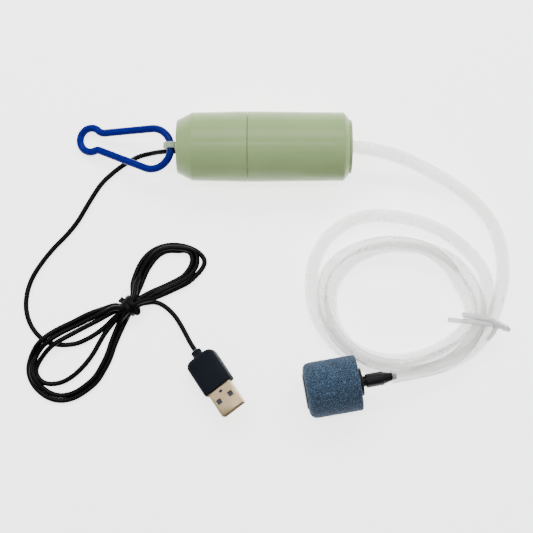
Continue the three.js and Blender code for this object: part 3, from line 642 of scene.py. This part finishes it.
# The loose coil's turns, clockwise from above: (degrees from +X, radius, height)
COIL_TURNS = np.array([
    (7, 49.0, 3.7), (-2, 46.6, 6.0), (-16, 44.3, 8.1), (-30, 43.6, 7.2), (-38, 42.9, 5.9), (-49, 41.1, 4.2),
    (-65, 38.8, 3.1), (-80, 37.0, 3.05), (-99, 36.7, 3.05), (-116, 37.0, 3.05), (-134, 37.2, 3.05),
    (-150, 38.0, 3.05), (-168, 39.2, 3.05), (-188, 40.2, 3.05), (-204, 41.2, 3.05), (-220, 41.1, 3.05),
    (-236, 39.8, 3.05), (-250, 37.9, 3.05), (-264, 35.9, 3.05), (-280, 34.7, 3.05), (-295, 34.7, 3.05),
    (-310, 35.6, 3.05), (-327, 37.6, 3.05), (-341, 40.2, 3.05), (-355, 41.8, 3.05), (-377, 42.0, 3.05),
    (-390, 39.9, 3.1), (-402, 37.4, 3.9), (-415, 35.2, 5.8), (-428, 34.1, 7.6), (-445, 33.8, 8.3),
    (-462, 33.9, 8.3), (-480, 34.2, 8.2), (-500, 34.8, 8.0), (-520, 35.2, 7.5), (-540, 35.2, 7.4),
    (-555, 33.9, 8.0), (-570, 31.0, 8.7), (-585, 27.7, 8.9), (-600, 25.1, 8.9), (-615, 23.6, 8.9),
    (-630, 22.7, 8.9), (-645, 22.7, 8.9), (-660, 23.5, 8.7), (-675, 24.6, 7.7), (-690, 26.1, 5.9),
    (-702, 27.5, 4.3), (-713, 29.3, 3.3), (-725, 32.6, 3.05), (-737, 35.8, 3.05), (-750, 35.0, 3.05),
    (-765, 33.0, 3.05), (-780, 31.6, 3.05), (-795, 31.1, 3.05), (-810, 31.2, 3.05), (-825, 31.8, 3.05),
    (-840, 32.5, 3.05), (-855, 33.1, 3.05), (-872, 32.8, 3.05), (-888, 31.8, 3.05), (-902, 30.6, 3.05),
    (-917, 28.6, 3.05), (-932, 26.2, 3.05), (-947, 24.2, 3.05), (-962, 22.6, 3.05), (-976, 21.9, 3.05),
    (-990, 21.7, 3.05), (-1005, 22.2, 3.05), (-1020, 23.9, 3.05), (-1035, 26.6, 3.05), (-1050, 29.6, 3.2),
    (-1062, 32.0, 4.0), (-1073, 34.4, 5.4), (-1085, 37.0, 7.2), (-1097, 39.0, 8.3), (-1110, 39.7, 8.7),
    (-1125, 39.4, 9.0), (-1140, 38.6, 9.3),
])


def hose_line():
    """The hose's middle line: the lead, the coil as centre + radius (cos t, sin t), and the tail."""
    angle = np.radians(COIL_TURNS[:, 0])
    radius = COIL_TURNS[:, 1]
    coil = np.column_stack([
        COIL_CENTRE[0] + radius * np.cos(angle), COIL_CENTRE[1] + radius * np.sin(angle), COIL_TURNS[:, 2]
    ])
    line = through(np.vstack([np.array(HOSE_LEAD) / MM, coil, np.array(HOSE_TAIL) / MM]), HOSE_STEP)
    line = eased(line, 7)
    line[:, 2] = np.maximum(line[:, 2], HOSE_RADIUS + FLOOR_GAP)
    return line


# ---------------------------------------------------------------- pieces


def make_camera():
    """A long lens almost straight above the object."""
    data = bpy.data.cameras.new("camera")
    data.lens = 80
    data.sensor_width = 36
    camera = bpy.data.objects.new("camera", data)
    tilt = math.radians(CAMERA_TILT)
    height = sizes().camera_height - AIM[2]
    camera.location = (AIM[0], AIM[1] - height * math.tan(tilt), AIM[2] + height)
    camera.rotation_euler = (tilt, 0, 0)
    bpy.context.scene.collection.objects.link(camera)
    bpy.context.scene.camera = camera


def make_usb_cable():
    """A round jacket along the cable's line: a curve of one spline with a round bevel."""
    line = cable_line()
    data = bpy.data.curves.new("usb_cable", "CURVE")
    data.dimensions = "3D"
    data.bevel_depth = sizes().cable_radius
    data.bevel_resolution = 4
    data.use_fill_caps = True
    spline = data.splines.new("POLY")
    spline.points.add(len(line) - 1)
    spline.points.foreach_set("co", np.column_stack([line * MM, np.ones(len(line))]).ravel())
    spline.use_smooth = True
    jacket = plastic(
        "cable_jacket", colours().cable, 0.34, spread=0.2, grain=500.0, depth=0.0005, Specular_IOR_Level=0.07
    )
    data.materials.append(jacket)
    cable = bpy.data.objects.new("usb_cable", data)
    bpy.context.scene.collection.objects.link(cable)
    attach(cable, "housing")
    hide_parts("usb_cable_lead", "usb_cable_bundle", "usb_cable_tail")
    return cable


def make_air_hose():
    """Two round walls along the hose's line, joined at both ends.

    The end on the nipple is stretched: its size is 1 + 0.04 exp(-(d / 4)^2) at d from the end.
    """
    line = hose_line()
    outer, bore = sizes().hose_radius / MM, sizes().hose_bore / MM
    from_end = np.arange(len(line))[::-1] * HOSE_STEP
    swell = 1 + 0.04 * np.exp(-((from_end / 4.0) ** 2))
    outside = swept(line, circle(outer, 28), scale=swell)
    inside = swept(line, circle(bore, 28), scale=swell)
    grid = np.concatenate([outside, inside[::-1]])
    hose = mesh_piece("air_hose", grid, silicone(), closed=True, sharp=50)
    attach(hose, "housing")
    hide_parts("air_hose_lead", "air_hose_coil", "air_hose_tail")
    return hose


def make_cable_tie():
    """Two wraps of coated wire round the cable's waist, and its ends.

    Wrap k is (x + 0.35 cos(t + k), r cos t, r sin t).
    """
    material = plastic("tie_black", (0.003, 0.003, 0.003), 0.35, spread=0.2, Specular_IOR_Level=0.08)
    wrap, end = rounded_rectangle(1.15, 0.55, 0.5), rounded_rectangle(0.75, 0.55, 0.5)
    t = np.linspace(0, TAU, 60, endpoint=False)
    radius = 4.0
    pieces = []
    for k, along in enumerate((-1.3, 1.3)):
        ring = np.column_stack([along + 0.35 * np.cos(t + k), radius * np.cos(t), radius * np.sin(t)])
        pieces.append(closed_ribbon(ring, wrap))
    ends = [
        [(-1.6, 3.2, 2.4), (-1.9, 4.2, 1.6), (-2.2, 5.2, 0.6)],
        [(-0.4, 3.4, 2.2), (-0.6, 4.4, 1.7), (-0.8, 5.4, 1.0)],
        [(0.6, -2.2, 3.4), (0.2, -3.6, 2.9), (-0.6, -4.6, 1.9), (0.4, -5.2, 0.9), (1.2, -4.6, 0.2)],
        [(1.3, -2.4, 3.3), (1.6, -3.9, 2.3), (0.7, -5.0, 1.5), (-0.2, -4.4, 0.6), (0.3, -5.4, -0.2)],
    ]
    pieces += [swept(through(points, 0.4), end) for points in ends]
    tie = joined("cable_tie_wraps", pieces, 2, at_tie, material)
    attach(tie, "housing")
    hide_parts("cable_tie")
    return tie


def at_tie(grid):
    """A turn about Z and a move to the waist: local x runs along the strands."""
    c, s = math.cos(TIE_TURN), math.sin(TIE_TURN)
    x, y, z = grid[..., 0], grid[..., 1], grid[..., 2]
    return np.stack([x * c - y * s, x * s + y * c, z], axis=-1) + np.array(TIE_PLACE)


def closed_ribbon(ring, section):
    """A section of points (u, v) carried round a ring that lies across X: ring + u (1, 0, 0) + v outwards."""
    middle = ring.mean(axis=0)
    outwards = ring - middle
    outwards[:, 0] = 0
    outwards /= np.linalg.norm(outwards, axis=1)[:, None]
    along = np.array([1.0, 0, 0])
    return ring[:, None] + section[None, :, :1] * along + section[None, :, 1:] * outwards[:, None]


def joined(name, grids, closed_count, place, material, sharp=40):
    """Several grids as one piece. The first ones are closed rings."""
    whole = bmesh.new()
    for k, grid in enumerate(grids):
        part = mesh_piece(f"{name}_{k}", place(grid), None, closed=k < closed_count)
        whole.from_mesh(part.data)
        bpy.data.objects.remove(part)
    mesh = bpy.data.meshes.new(name)
    whole.to_mesh(mesh)
    whole.free()
    return object_of(name, mesh, material, sharp)


def make_plug():
    """A grip that widens from a round neck to a block with a socket in its end, and the metal shell in it."""
    c = colours()
    # (x, half width, half height, corner radius) from the neck to the socket's floor
    grip_rows = [
        (0.3, 1.5, 1.5, 1.5), (0.3, 2.3, 2.3, 2.3), (0.5, 2.5, 2.5, 2.5), (1.5, 2.55, 2.55, 2.55),
        (1.7, 2.42, 2.42, 2.42), (2.1, 2.42, 2.42, 2.42), (2.3, 2.6, 2.6, 2.6), (3.2, 2.7, 2.7, 2.7),
        (3.3, 4.4, 2.7, 1.6), (3.45, 5.3, 3.0, 1.7), (3.9, 6.3, 3.35, 1.9), (4.6, 6.95, 3.6, 2.0),
        (5.6, 7.36, 3.76, 2.0), (6.6, 7.5, 3.8, 2.0), (13.0, 7.5, 3.8, 2.0), (20.3, 7.5, 3.8, 2.0),
        (20.85, 7.4, 3.7, 1.9), (21.12, 7.15, 3.45, 1.7), (21.2, 6.8, 3.1, 1.3), (21.2, 6.3, 2.55, 0.6),
        (20.9, 6.25, 2.5, 0.55), (18.9, 6.25, 2.5, 0.55), (18.9, 3.0, 1.0, 0.3),
    ]
    vinyl = plastic(
        "plug_overmould", c.plug, 0.55, spread=0.15, grain=1500.0, depth=0.008, Specular_IOR_Level=0.05
    )
    grip = mesh_piece("usb_grip", on_plug(lofted(grip_rows)), vinyl)
    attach(grip, "housing")
    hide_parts("usb_overmould")

    # The metal wall: outside, over the rim and back inside
    wall_rows = [
        (19.4, 6.0, 2.25, 0.6), (33.0, 6.0, 2.25, 0.6), (33.22, 5.94, 2.19, 0.55), (33.3, 5.8, 2.05, 0.4),
        (33.2, 5.64, 1.89, 0.3), (32.9, 5.6, 1.85, 0.3), (19.4, 5.6, 1.85, 0.3),
    ]
    nickel = metal("plug_metal", c.nickel, 0.36)
    shell = mesh_piece("usb_metal_shell", on_plug(lofted(wall_rows)), nickel, closed=True)
    window = 1.2  # half its width
    cutters = [block("cutter", (25.5, y - window, -4), (27.9, y + window, 4), on_plug) for y in (-3.2, 3.2)]
    cutters.append(block("cutter", (22.6, -0.85, 0), (23.7, 0.85, 4), on_plug))
    carve(shell, *cutters)
    bevel = shell.modifiers.new("rims", "BEVEL")
    bevel.width = 0.12 * MM
    bevel.segments = 2
    bevel.limit_method = "ANGLE"
    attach(shell, "housing")
    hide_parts("usb_shell")
    return grip, shell


def hull_line(centres, radius, count):
    """The line round several circles: centre + radius w in each direction w, where centre . w is greatest."""
    centres = np.asarray(centres)
    way = circle(1.0, 720)
    edge = centres[np.argmax(way @ centres.T, axis=1)] + radius * way
    closed = np.vstack([edge, edge[:1]])
    return even(closed, np.linalg.norm(np.diff(closed, axis=0), axis=1).sum() / count)[:-1]


def make_hose_tie():
    """A clear ribbon with a wire in its middle round the hose's strands, and its twisted ends."""
    around = hull_line([(-3.2, 3.1), (3.1, 3.1), (0, 8.3), (5.4, 8.2)], 3.35, 96)
    ring = np.column_stack([0.25 * np.sin(np.linspace(0, TAU, len(around))) - 1.5, around])
    ribbon = np.array([
        (1.2, 0.0), (0.9, 0.16), (0.4, 0.18), (0.2, 0.42), (-0.2, 0.42),
        (-0.4, 0.18), (-0.9, 0.16), (-1.2, 0.0), (-0.9, -0.1), (0.9, -0.1),
    ])
    flat = rounded_rectangle(1.1, 0.22, 0.2)
    over = [
        [(-2.4, 5.8, 11.9), (-2.5, 0, 12.1), (-2.8, -5, 11.6), (-3.2, -10, 9.6), (-3.4, -14.5, 8.0)],
        [(-0.5, 5.6, 12.0), (-0.2, 0, 12.3), (0.1, -4.5, 11.8), (-0.1, -8.9, 10.6)],
        [(-2.0, 6.2, 11.6), (-4.5, 7.0, 10.4), (-7.2, 6.0, 9.0), (-9.5, 4.7, 7.6)],
    ]
    grids = [closed_ribbon(ring, ribbon)]
    grids += [swept(through(points, 0.6), flat) for points in over]
    grids += [swept(twist_line(start), rounded_rectangle(1.0, 0.6, 0.5)) for start in (0, math.pi)]
    material = plastic(
        "tie_clear", (0.95, 0.95, 0.94), 0.2, spread=0.03, grain=700.0, depth=0.01, Transmission_Weight=0.4
    )
    tie = joined("hose_tie_ribbon", grids, 1, at_hose_tie, material)
    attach(tie, "housing")
    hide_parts("hose_tie")
    return tie


def twist_line(start):
    """One of two ribbons twisted together: a helix of 1.4 turns that narrows towards its end."""
    share = np.linspace(0, 1, 30)
    turn, radius = start + share * 1.4 * TAU, 1.0 - 0.5 * share
    axis = np.array([-1.5, 5.4, 11.8]) + share[:, None] * np.array([-1.6, 8.2, -1.9])
    return axis + np.column_stack([radius * np.cos(turn), 0 * turn, radius * np.sin(turn)])


def at_hose_tie(grid):
    """Local x runs along the strands, y across them and outwards, z up.

    The band is pressed flat under them: a height z below 0.9 becomes 0.9 + 0.55 (z - 0.9).
    """
    c, s = math.cos(HOSE_TIE_TURN), math.sin(HOSE_TIE_TURN)
    x, y, z = grid[..., 0], grid[..., 1], grid[..., 2]
    pressed = 0.9
    z = np.where(z < pressed, pressed + 0.55 * (z - pressed), z)
    return np.stack([x * c + y * s + HOSE_TIE_PLACE[0], x * s - y * c + HOSE_TIE_PLACE[1], z], axis=-1)


def grains(shape, size, seed):
    """Seeded random heights, each the sum over a square of grid steps, divided by the largest."""
    field = np.random.default_rng(seed).standard_normal(shape)
    for axis in (0, 1):
        field = sum(np.roll(field, k, axis) for k in range(-size, size + 1))
    return field / np.abs(field).max()


def make_stone():
    """A turned block of bonded grit: point + normal (height - 0.55) depth, with heights of about -1 to 1."""
    corners = [(-STONE_HALF, 0), (-STONE_HALF, STONE_RADIUS), (STONE_HALF, STONE_RADIUS), (STONE_HALF, 0)]
    profile = even(softened(corners, [0, 4.0, 1.1, 0], 8), 0.3)[1:-1]
    sides = 250
    slope = np.gradient(profile, axis=0)
    normal = np.column_stack([-slope[:, 1], slope[:, 0]])
    normal /= np.linalg.norm(normal, axis=1)[:, None]
    near_pole = np.clip(profile[:, 1] / 3.0, 0, 1)[:, None]
    depth = sizes().grain_depth / MM
    shape = (len(profile), sides)
    height = (grains(shape, 1, 7) * 0.8 + grains(shape, 0, 8) * 0.35) * near_pole
    pitted = turned(profile, sides) + turned(normal, sides) * ((height - 0.55) * depth)[..., None]
    pitted[..., 2] = np.maximum(pitted[..., 2], FLOOR_GAP - STONE_PLACE[2])
    stone = mesh_piece("grit_stone", on_stone(pitted), stone_grit(), sharp=180)
    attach(stone, "housing")
    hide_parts("air_stone")
    return stone


def make_stone_fittings():
    """The end disc, and the nipple whose collar has six facets: radius times 1 - 0.055 (1 - cos 6t) / 2."""
    black = plastic(
        "stone_fittings", colours().fittings, 0.38, spread=0.2, depth=0.005, Specular_IOR_Level=0.12
    )
    back, front = -12.7, -12.0  # the disc's two faces; the stone hides the front one
    disc_line = softened([(front, 0), (front, 8.0), (back, 8.0), (back, 0)], [0, 0.2, 0.3, 0])
    disc = mesh_piece("stone_disc", on_stone(turned(disc_line[1:-1], 64)), black)
    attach(disc, "housing")
    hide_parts("stone_end_disc")

    face = STONE_HALF + 0.3
    barb = [
        (face - 0.2, 1), (face - 0.2, 6.1), (face + 0.1, 6.3), (face + 0.9, 6.3), (face + 1.2, 6.0),
        (face + 1.25, 2.6), (face + 2.6, 2.35), (face + 2.7, 3.0), (face + 2.95, 3.15), (face + 10.5, 3.15),
        (face + 10.75, 3.0), (face + 11.0, 2.7), (face + 16.7, 1.35), (face + 16.8, 1.2), (face + 16.8, 0.7),
        (face + 12.0, 0.7), (face + 12.0, 0.3),
    ]
    sides = 60
    grid = turned(np.array(barb, dtype=float), sides)
    facet = 1 - 0.055 * (1 - np.cos(np.linspace(0, TAU, sides, endpoint=False) * 6)) / 2
    on_collar = (grid[:, 0, 0] > face + 2.6) & (grid[:, 0, 0] < face + 10.8)
    grid[on_collar, :, 1:] *= facet[None, :, None]
    nipple = mesh_piece("hose_nipple", on_stone(grid), black, sharp=28)
    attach(nipple, "housing")
    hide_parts("stone_nipple")
    return disc, nipple


def make_shells():
    """Three turned walls: the tapered rear shell, the front shell and the outlet cap."""
    sage = plastic(
        "shell_plastic", colours().shell, 0.2, spread=0.03, grain=1100.0, depth=0.0025, Specular_IOR_Level=0.12
    )
    edge = sizes().edge_radius / MM
    front_end = BODY_LENGTH - CAP_STAND
    gap = 0.1  # from the seam's middle to either shell
    rear_line = softened(
        [
            (0, 0.05), (0, 12.0), (6.9, END_RADIUS), (SEAM - gap, BODY_RADIUS),
            (SEAM - gap, 14.4), (7.9, 13.9), (2, 10.4), (2, 0.05),
        ],
        [0, 0.9, 1.6, edge, 0.2, 2.0, 0.5, 0],
    )
    rear = mesh_piece("rear_body", on_pump(turned(rear_line, 120)), sage, sharp=30)
    slot = block("cutter", (-1, EYE_Y - 1.6, -2.7), (3, EYE_Y + 1.6, 2.7), on_pump)
    hole_grid = turned(np.array([(-1.0, 2.15), (3.0, 2.15)]), 32) + np.array([0, *CABLE_HOLE])
    hole = mesh_piece("cutter", on_pump(hole_grid), None)
    carve(rear, slot, hole)
    front_line = softened(
        [
            (SEAM + gap, BODY_RADIUS), (front_end - 2.2, 15.55), (front_end, 13.0), (front_end, 12.45),
            (front_end - 1.6, 12.45), (front_end - 1.6, 13.8), (36, 13.8), (35, 13.4),
            (SEAM - 2.7, 13.4), (SEAM - 2.7, 14.1), (SEAM + gap, 14.1),
        ],
        [edge, 1.6, 0.5, 0.15, 0.1, 0, 0, 0, 0, 0, 0],
        closed=True,
    )
    front = mesh_piece("front_body", on_pump(turned(front_line, 120)), sage, closed=True, sharp=30)
    cap_line = softened(
        [
            (74.3, 3.3), (74.3, 5), (77.3, 5), (77.3, 11), (74.3, 11), (74.3, 13.5), (front_end - 1.9, 13.5),
            (front_end - 1.9, 12.3), (BODY_LENGTH, 12.3), (BODY_LENGTH, 10.6), (BODY_LENGTH - 0.35, 10.2),
            (BODY_LENGTH - 0.35, 5.4), (BODY_LENGTH, 5.0), (BODY_LENGTH, 3.3),
        ],
        [0, 0, 0, 0, 0, 0, 0, 0, 0.45, 0.2, 0.2, 0.2, 0.2, 0.25],
        closed=True,
    )
    cap = mesh_piece("outlet_ring", on_pump(turned(cap_line, 120)), sage, closed=True, sharp=30)
    for piece, node in ((rear, "rear_shell"), (front, "front_shell"), (cap, "outlet_cap")):
        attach(piece, "housing")
        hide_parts(node)


def make_eye():
    """A plate with a round hole.

    Its outer edge is the further of a circle and the shank's rectangle: max(radius, min(2.5 / |sin t|,
    6.5 / cos t)), with the shank only where cos t is over 0.
    """
    cosine, sine = circle(1.0, 96).T
    shank = np.minimum(2.5 / np.maximum(np.abs(sine), 1e-6), 6.5 / np.maximum(cosine, 1e-6))
    outer = np.maximum(EYE_RADIUS, np.where(cosine > 0, shank, 0))
    half = EYE_HALF_WIDTH
    section = softened([(0, -half), (1, -half), (1, half), (0, half)], [0.35] * 4, 4, closed=True)
    share, across = section[:, :1], section[:, 1:]
    radius = EYE_HOLE + (outer - EYE_HOLE) * share
    grid = np.stack([radius * cosine, across + 0 * radius, radius * sine], axis=-1)
    grid += np.array([-EYE_OUT, EYE_Y, 0])
    plate = plastic("eye_plastic", colours().eye, 0.3, spread=0.04)
    eye = mesh_piece("eye_lug", on_pump(grid), plate, closed=True, sharp=35)
    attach(eye, "housing")
    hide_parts("hanging_eye")


def make_bush():
    """A turned rubber sleeve where the cable leaves the rear wall."""
    outline = [(-0.4, 1.35), (-0.4, 2.0), (2.3, 2.0), (2.3, 3.2), (3.3, 3.2), (3.3, 1.35)]
    line = softened(outline, [0.15] * 6, 3, closed=True)
    grid = turned(line, 40) + np.array([0, *CABLE_HOLE])
    rubber = plastic("bush_rubber", colours().cable, 0.45, spread=0.2)
    bush = mesh_piece("cable_sleeve", on_pump(grid), rubber, closed=True)
    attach(bush, "housing")
    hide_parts("cable_bush")


def hook_layout():
    """The limb's angle, the neck arc's centre and the angle at which it meets the small loop.

    The centre is on the limb's parallel, y = lift - x tan a, and one neck and one small radius from the small
    loop's centre: (x - spacing)^2 + y^2 = reach^2.
    """
    a = HOOK_LIMB_ANGLE
    lift, slope = (HOOK_BIG + HOOK_NECK) / math.cos(a), math.tan(a)
    reach = HOOK_SMALL + HOOK_NECK
    square, linear = 1 + slope**2, -2 * (HOOK_SPACING + lift * slope)
    constant = HOOK_SPACING**2 + lift**2 - reach**2
    x = (-linear - math.sqrt(linear**2 - 4 * square * constant)) / (2 * square)
    y = lift - x * slope
    return a, x, y, math.atan2(y, x - HOOK_SPACING)


def hook_plane():
    """The eye and the plane's two directions: away from the pump and down to the floor, and along Y.

    The far end's middle line is one wire radius high: sin(slope) = (axis height - wire radius) / length.
    """
    length = HOOK_CENTRE[0] + HOOK_SPACING * math.cos(HOOK_TURN) + HOOK_SMALL
    slope = math.asin((AXIS_HEIGHT - WIRE_RADIUS) / length)
    eye = np.array([REAR_X - EYE_OUT, EYE_Y, AXIS_HEIGHT])
    return eye, np.array([-math.cos(slope), 0, -math.sin(slope)]), np.array([0.0, 1.0, 0.0])


def on_hook(flat):
    """Points of the gourd's own plane, turned about the big loop and laid out: eye + x away + y across."""
    c, s = math.cos(HOOK_TURN), math.sin(HOOK_TURN)
    x = flat[:, 0] * c - flat[:, 1] * s + HOOK_CENTRE[0]
    y = flat[:, 0] * s + flat[:, 1] * c + HOOK_CENTRE[1]
    eye, away, across = hook_plane()
    return eye + x[:, None] * away + y[:, None] * across


def wire(line, slant=0.55):
    """A round section along a flat line, cut aslant: the last ring moves slant (its side distance) tangent."""
    _, away, across = hook_plane()
    up = np.cross(away, across)
    grid = swept(line, circle(sizes().wire_radius / MM, 32), up)
    tangent, side, _ = frames_along(line, up)
    grid[-1] += np.outer((grid[-1] - line[-1]) @ side[-1] * slant, tangent[-1])
    return grid


def make_hook():
    """The gourd-shaped wire, and the straight limb from the big loop towards the neck."""
    a, x, y, join = hook_layout()
    quarter = math.pi / 2
    end_gap = 0.3  # between the limb's end and the neck
    arcs = [
        arc((0, 0), HOOK_BIG, quarter - a, 3 * quarter + a, 90),
        arc((x, -y), HOOK_NECK, quarter - a, math.pi - join, 30),
        arc((HOOK_SPACING, 0), HOOK_SMALL, -join, join, 70),
        arc((x, y), HOOK_NECK, math.pi + join, 3 * quarter - a, 30),
    ]
    flat = even(np.vstack(arcs), 0.7)
    blue = plastic(
        "hook_plastic", colours().hook, 0.3, spread=0.1, grain=300.0, depth=0.002, Specular_IOR_Level=0.07
    )
    loop = mesh_piece("hook_loop_wire", wire(on_hook(flat)), blue, sharp=50)
    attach(loop, "hook_loop")
    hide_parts("hook")

    root = np.array([HOOK_BIG * math.sin(a), HOOK_BIG * math.cos(a)])
    tip = np.array([x - HOOK_NECK * math.sin(a), y - HOOK_NECK * math.cos(a)])
    way = (tip - root) / np.linalg.norm(tip - root)
    straight = root + np.linspace(0, np.linalg.norm(tip - root) - end_gap, 40)[:, None] * way
    line = on_hook(straight)
    limb = mesh_piece("hook_gate_wire", wire(line), blue, sharp=50)
    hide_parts("hook_gate")
    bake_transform(limb)


def kept_finishes():
    """A finish for each material slot whose CAD nodes stay as they are."""
    white = (0.78, 0.78, 0.75)
    return {
        "cable_jacket": plastic("lead_black", (0.01, 0.01, 0.01), 0.45, spread=0.2),
        "plug_overmould": bpy.data.materials["plug_overmould"],
        "contact_metal": metal("contact_metal", (0.72, 0.53, 0.24), 0.28, stretch=(6, 1, 1)),
        "motor_steel": metal("motor_steel", (0.55, 0.56, 0.58), 0.32, stretch=(1, 8, 8)),
        "motor_brass": metal("motor_brass", (0.62, 0.45, 0.18), 0.42),
        "motor_copper": metal("motor_copper", (0.60, 0.24, 0.10), 0.34, stretch=(40, 1, 1), grain=300.0),
        "motor_magnet": plastic("motor_magnet", (0.03, 0.03, 0.033), 0.7, spread=0.3, grain=700.0, depth=0.05),
        "pump_plastic": plastic(
            "pump_plastic", white, 0.42, spread=0.04, Subsurface_Weight=0.1, Subsurface_Scale=0.001
        ),
        "pump_rubber": plastic("pump_rubber", (0.018, 0.018, 0.019), 0.62, spread=0.25, depth=0.02),
        "lead_red": plastic("lead_red", (0.42, 0.02, 0.02), 0.4, spread=0.12),
        "sleeve_foam": plastic("sleeve_foam", (0.02, 0.02, 0.021), 0.95, spread=0.4, grain=1400.0, depth=0.35),
    }


def finish_kept_nodes():
    """Gives each CAD node that still shows its slot's finish."""
    finishes = kept_finishes()
    for row in frame["record"]["subparts"]:
        if row["material_slot"] not in finishes:
            continue
        node = frame["nodes"][row["node"]]
        if not node.material_slots:
            node.data.materials.append(None)
        for slot in node.material_slots:
            slot.material = finishes[row["material_slot"]]


def area_light(name, place, aim, size, power):
    """A soft rectangular lamp at a place, turned to face a point."""
    data = bpy.data.lights.new(name, "AREA")
    data.shape = "RECTANGLE"
    data.size, data.size_y = size
    data.energy = power
    lamp = bpy.data.objects.new(name, data)
    lamp.location = place
    away = np.array(place) - np.array(aim)
    level = math.hypot(away[0], away[1])
    lamp.rotation_euler = (math.atan2(level, away[2]), 0, math.atan2(away[0], -away[1]) if level else 0)
    bpy.context.scene.collection.objects.link(lamp)


def make_stage():
    """A plain pale floor and soft lights from above and from both sides."""
    c = colours().floor
    material = surface("floor_paper", c, 0.9, Emission_Color=(1, 1, 1, 1), Emission_Strength=2.6)
    tint(material, noise(material, 6.0, 2.0), shade(c, 0.99), shade(c, 1.01))
    half, z = 1.5, -0.0002
    corners = np.array([(-half, -half, z), (half, -half, z), (half, half, z), (-half, half, z)])
    mesh = bpy.data.meshes.new("floor")
    mesh.from_pydata(corners.tolist(), [], [[0, 1, 2, 3]])
    mesh.materials.append(material)
    floor = bpy.data.objects.new("floor", mesh)
    bpy.context.scene.collection.objects.link(floor)
    middle = (0.02, -0.05, 0)
    area_light("key_light", (0.02, 0.42, 0.62), middle, (0.9, 0.30), 7.2)
    area_light("strip_light", (0.02, 0.01, 0.95), middle, (1.0, 0.02), 4.0)
    area_light("fill_light", (-0.7, 0.1, 0.7), middle, (0.5, 0.5), 1.6)
    area_light("rim_light", (0.8, 0.2, 0.6), middle, (0.5, 0.5), 1.6)
    world = bpy.data.worlds.new("studio")
    world.use_nodes = True
    sky = world.node_tree.nodes["Background"]
    sky.inputs["Color"].default_value = (1, 1, 1, 1)
    sky.inputs["Strength"].default_value = 0.10
    bpy.context.scene.world = world


# ---------------------------------------------------------------- operators


class AIRPUMP_OT_camera(bpy.types.Operator):
    """Make the camera"""

    bl_idname = "air_pump.camera"
    bl_label = "Camera"

    def execute(self, context):
        make_camera()
        return {"FINISHED"}


class AIRPUMP_OT_usb_cable(bpy.types.Operator):
    """Make the power cable with its tie and its plug"""

    bl_idname = "air_pump.usb_cable"
    bl_label = "Power cable"

    def execute(self, context):
        cable = make_usb_cable()
        tie = make_cable_tie()
        grip, shell = make_plug()
        return {"FINISHED"}


class AIRPUMP_OT_air_hose(bpy.types.Operator):
    """Make the air hose with its tie and the air stone"""

    bl_idname = "air_pump.air_hose"
    bl_label = "Air hose and stone"

    def execute(self, context):
        hose = make_air_hose()
        tie = make_hose_tie()
        stone = make_stone()
        disc, nipple = make_stone_fittings()
        path = [tuple(p) for p in hose_line() * MM]
        return {"FINISHED"}


class AIRPUMP_OT_shells(bpy.types.Operator):
    """Make the rear shell, the front shell and the outlet cap"""

    bl_idname = "air_pump.shells"
    bl_label = "Shells and cap"

    def execute(self, context):
        make_shells()
        return {"FINISHED"}


class AIRPUMP_OT_rear_fittings(bpy.types.Operator):
    """Make the hanging eye and the cable's bush"""

    bl_idname = "air_pump.rear_fittings"
    bl_label = "Eye and bush"

    def execute(self, context):
        make_eye()
        make_bush()
        return {"FINISHED"}


class AIRPUMP_OT_hook(bpy.types.Operator):
    """Make the hanging hook and its limb"""

    bl_idname = "air_pump.hook"
    bl_label = "Hook"

    def execute(self, context):
        make_hook()
        return {"FINISHED"}


class AIRPUMP_OT_working_parts(bpy.types.Operator):
    """Give the motor, the pump head and the plug's contacts their finishes"""

    bl_idname = "air_pump.working_parts"
    bl_label = "Working parts"

    def execute(self, context):
        finish_kept_nodes()
        return {"FINISHED"}


class AIRPUMP_OT_stage(bpy.types.Operator):
    """Make the floor and the lights"""

    bl_idname = "air_pump.stage"
    bl_label = "Floor and lights"

    def execute(self, context):
        make_stage()
        return {"FINISHED"}


OPERATORS = (
    AIRPUMP_OT_camera, AIRPUMP_OT_usb_cable, AIRPUMP_OT_air_hose, AIRPUMP_OT_shells, AIRPUMP_OT_rear_fittings,
    AIRPUMP_OT_hook, AIRPUMP_OT_working_parts, AIRPUMP_OT_stage,
)


class AIRPUMP_PT_pieces(bpy.types.Panel):
    """Lists the pump's pieces"""

    bl_idname = "AIRPUMP_PT_pieces"
    bl_label = "Air pump"
    bl_space_type = "VIEW_3D"
    bl_region_type = "UI"
    bl_category = "Air pump"

    def draw(self, context):
        for operator in OPERATORS:
            self.layout.operator(operator.bl_idname)
        for group in (context.scene.air_pump_sizes, context.scene.air_pump_colours):
            box = self.layout.box()
            for name in group.__annotations__:
                box.prop(group, name)


CLASSES = (AirPumpSizes, AirPumpColours, *OPERATORS, AIRPUMP_PT_pieces)


def register():
    """Adds the classes and the scene's two groups of properties."""
    for item in CLASSES:
        bpy.utils.register_class(item)
    bpy.types.Scene.air_pump_sizes = bpy.props.PointerProperty(type=AirPumpSizes)
    bpy.types.Scene.air_pump_colours = bpy.props.PointerProperty(type=AirPumpColours)


def unregister():
    """Takes away what register() adds."""
    del bpy.types.Scene.air_pump_colours
    del bpy.types.Scene.air_pump_sizes
    for item in reversed(CLASSES):
        bpy.utils.unregister_class(item)


def main():
    """Builds every piece through its operator."""
    register()
    bpy.ops.air_pump.camera()
    bpy.ops.air_pump.usb_cable()
    bpy.ops.air_pump.air_hose()
    bpy.ops.air_pump.shells()
    bpy.ops.air_pump.rear_fittings()
    bpy.ops.air_pump.hook()
    bpy.ops.air_pump.working_parts()
    bpy.ops.air_pump.stage()


if __name__ == "__main__":
    main()
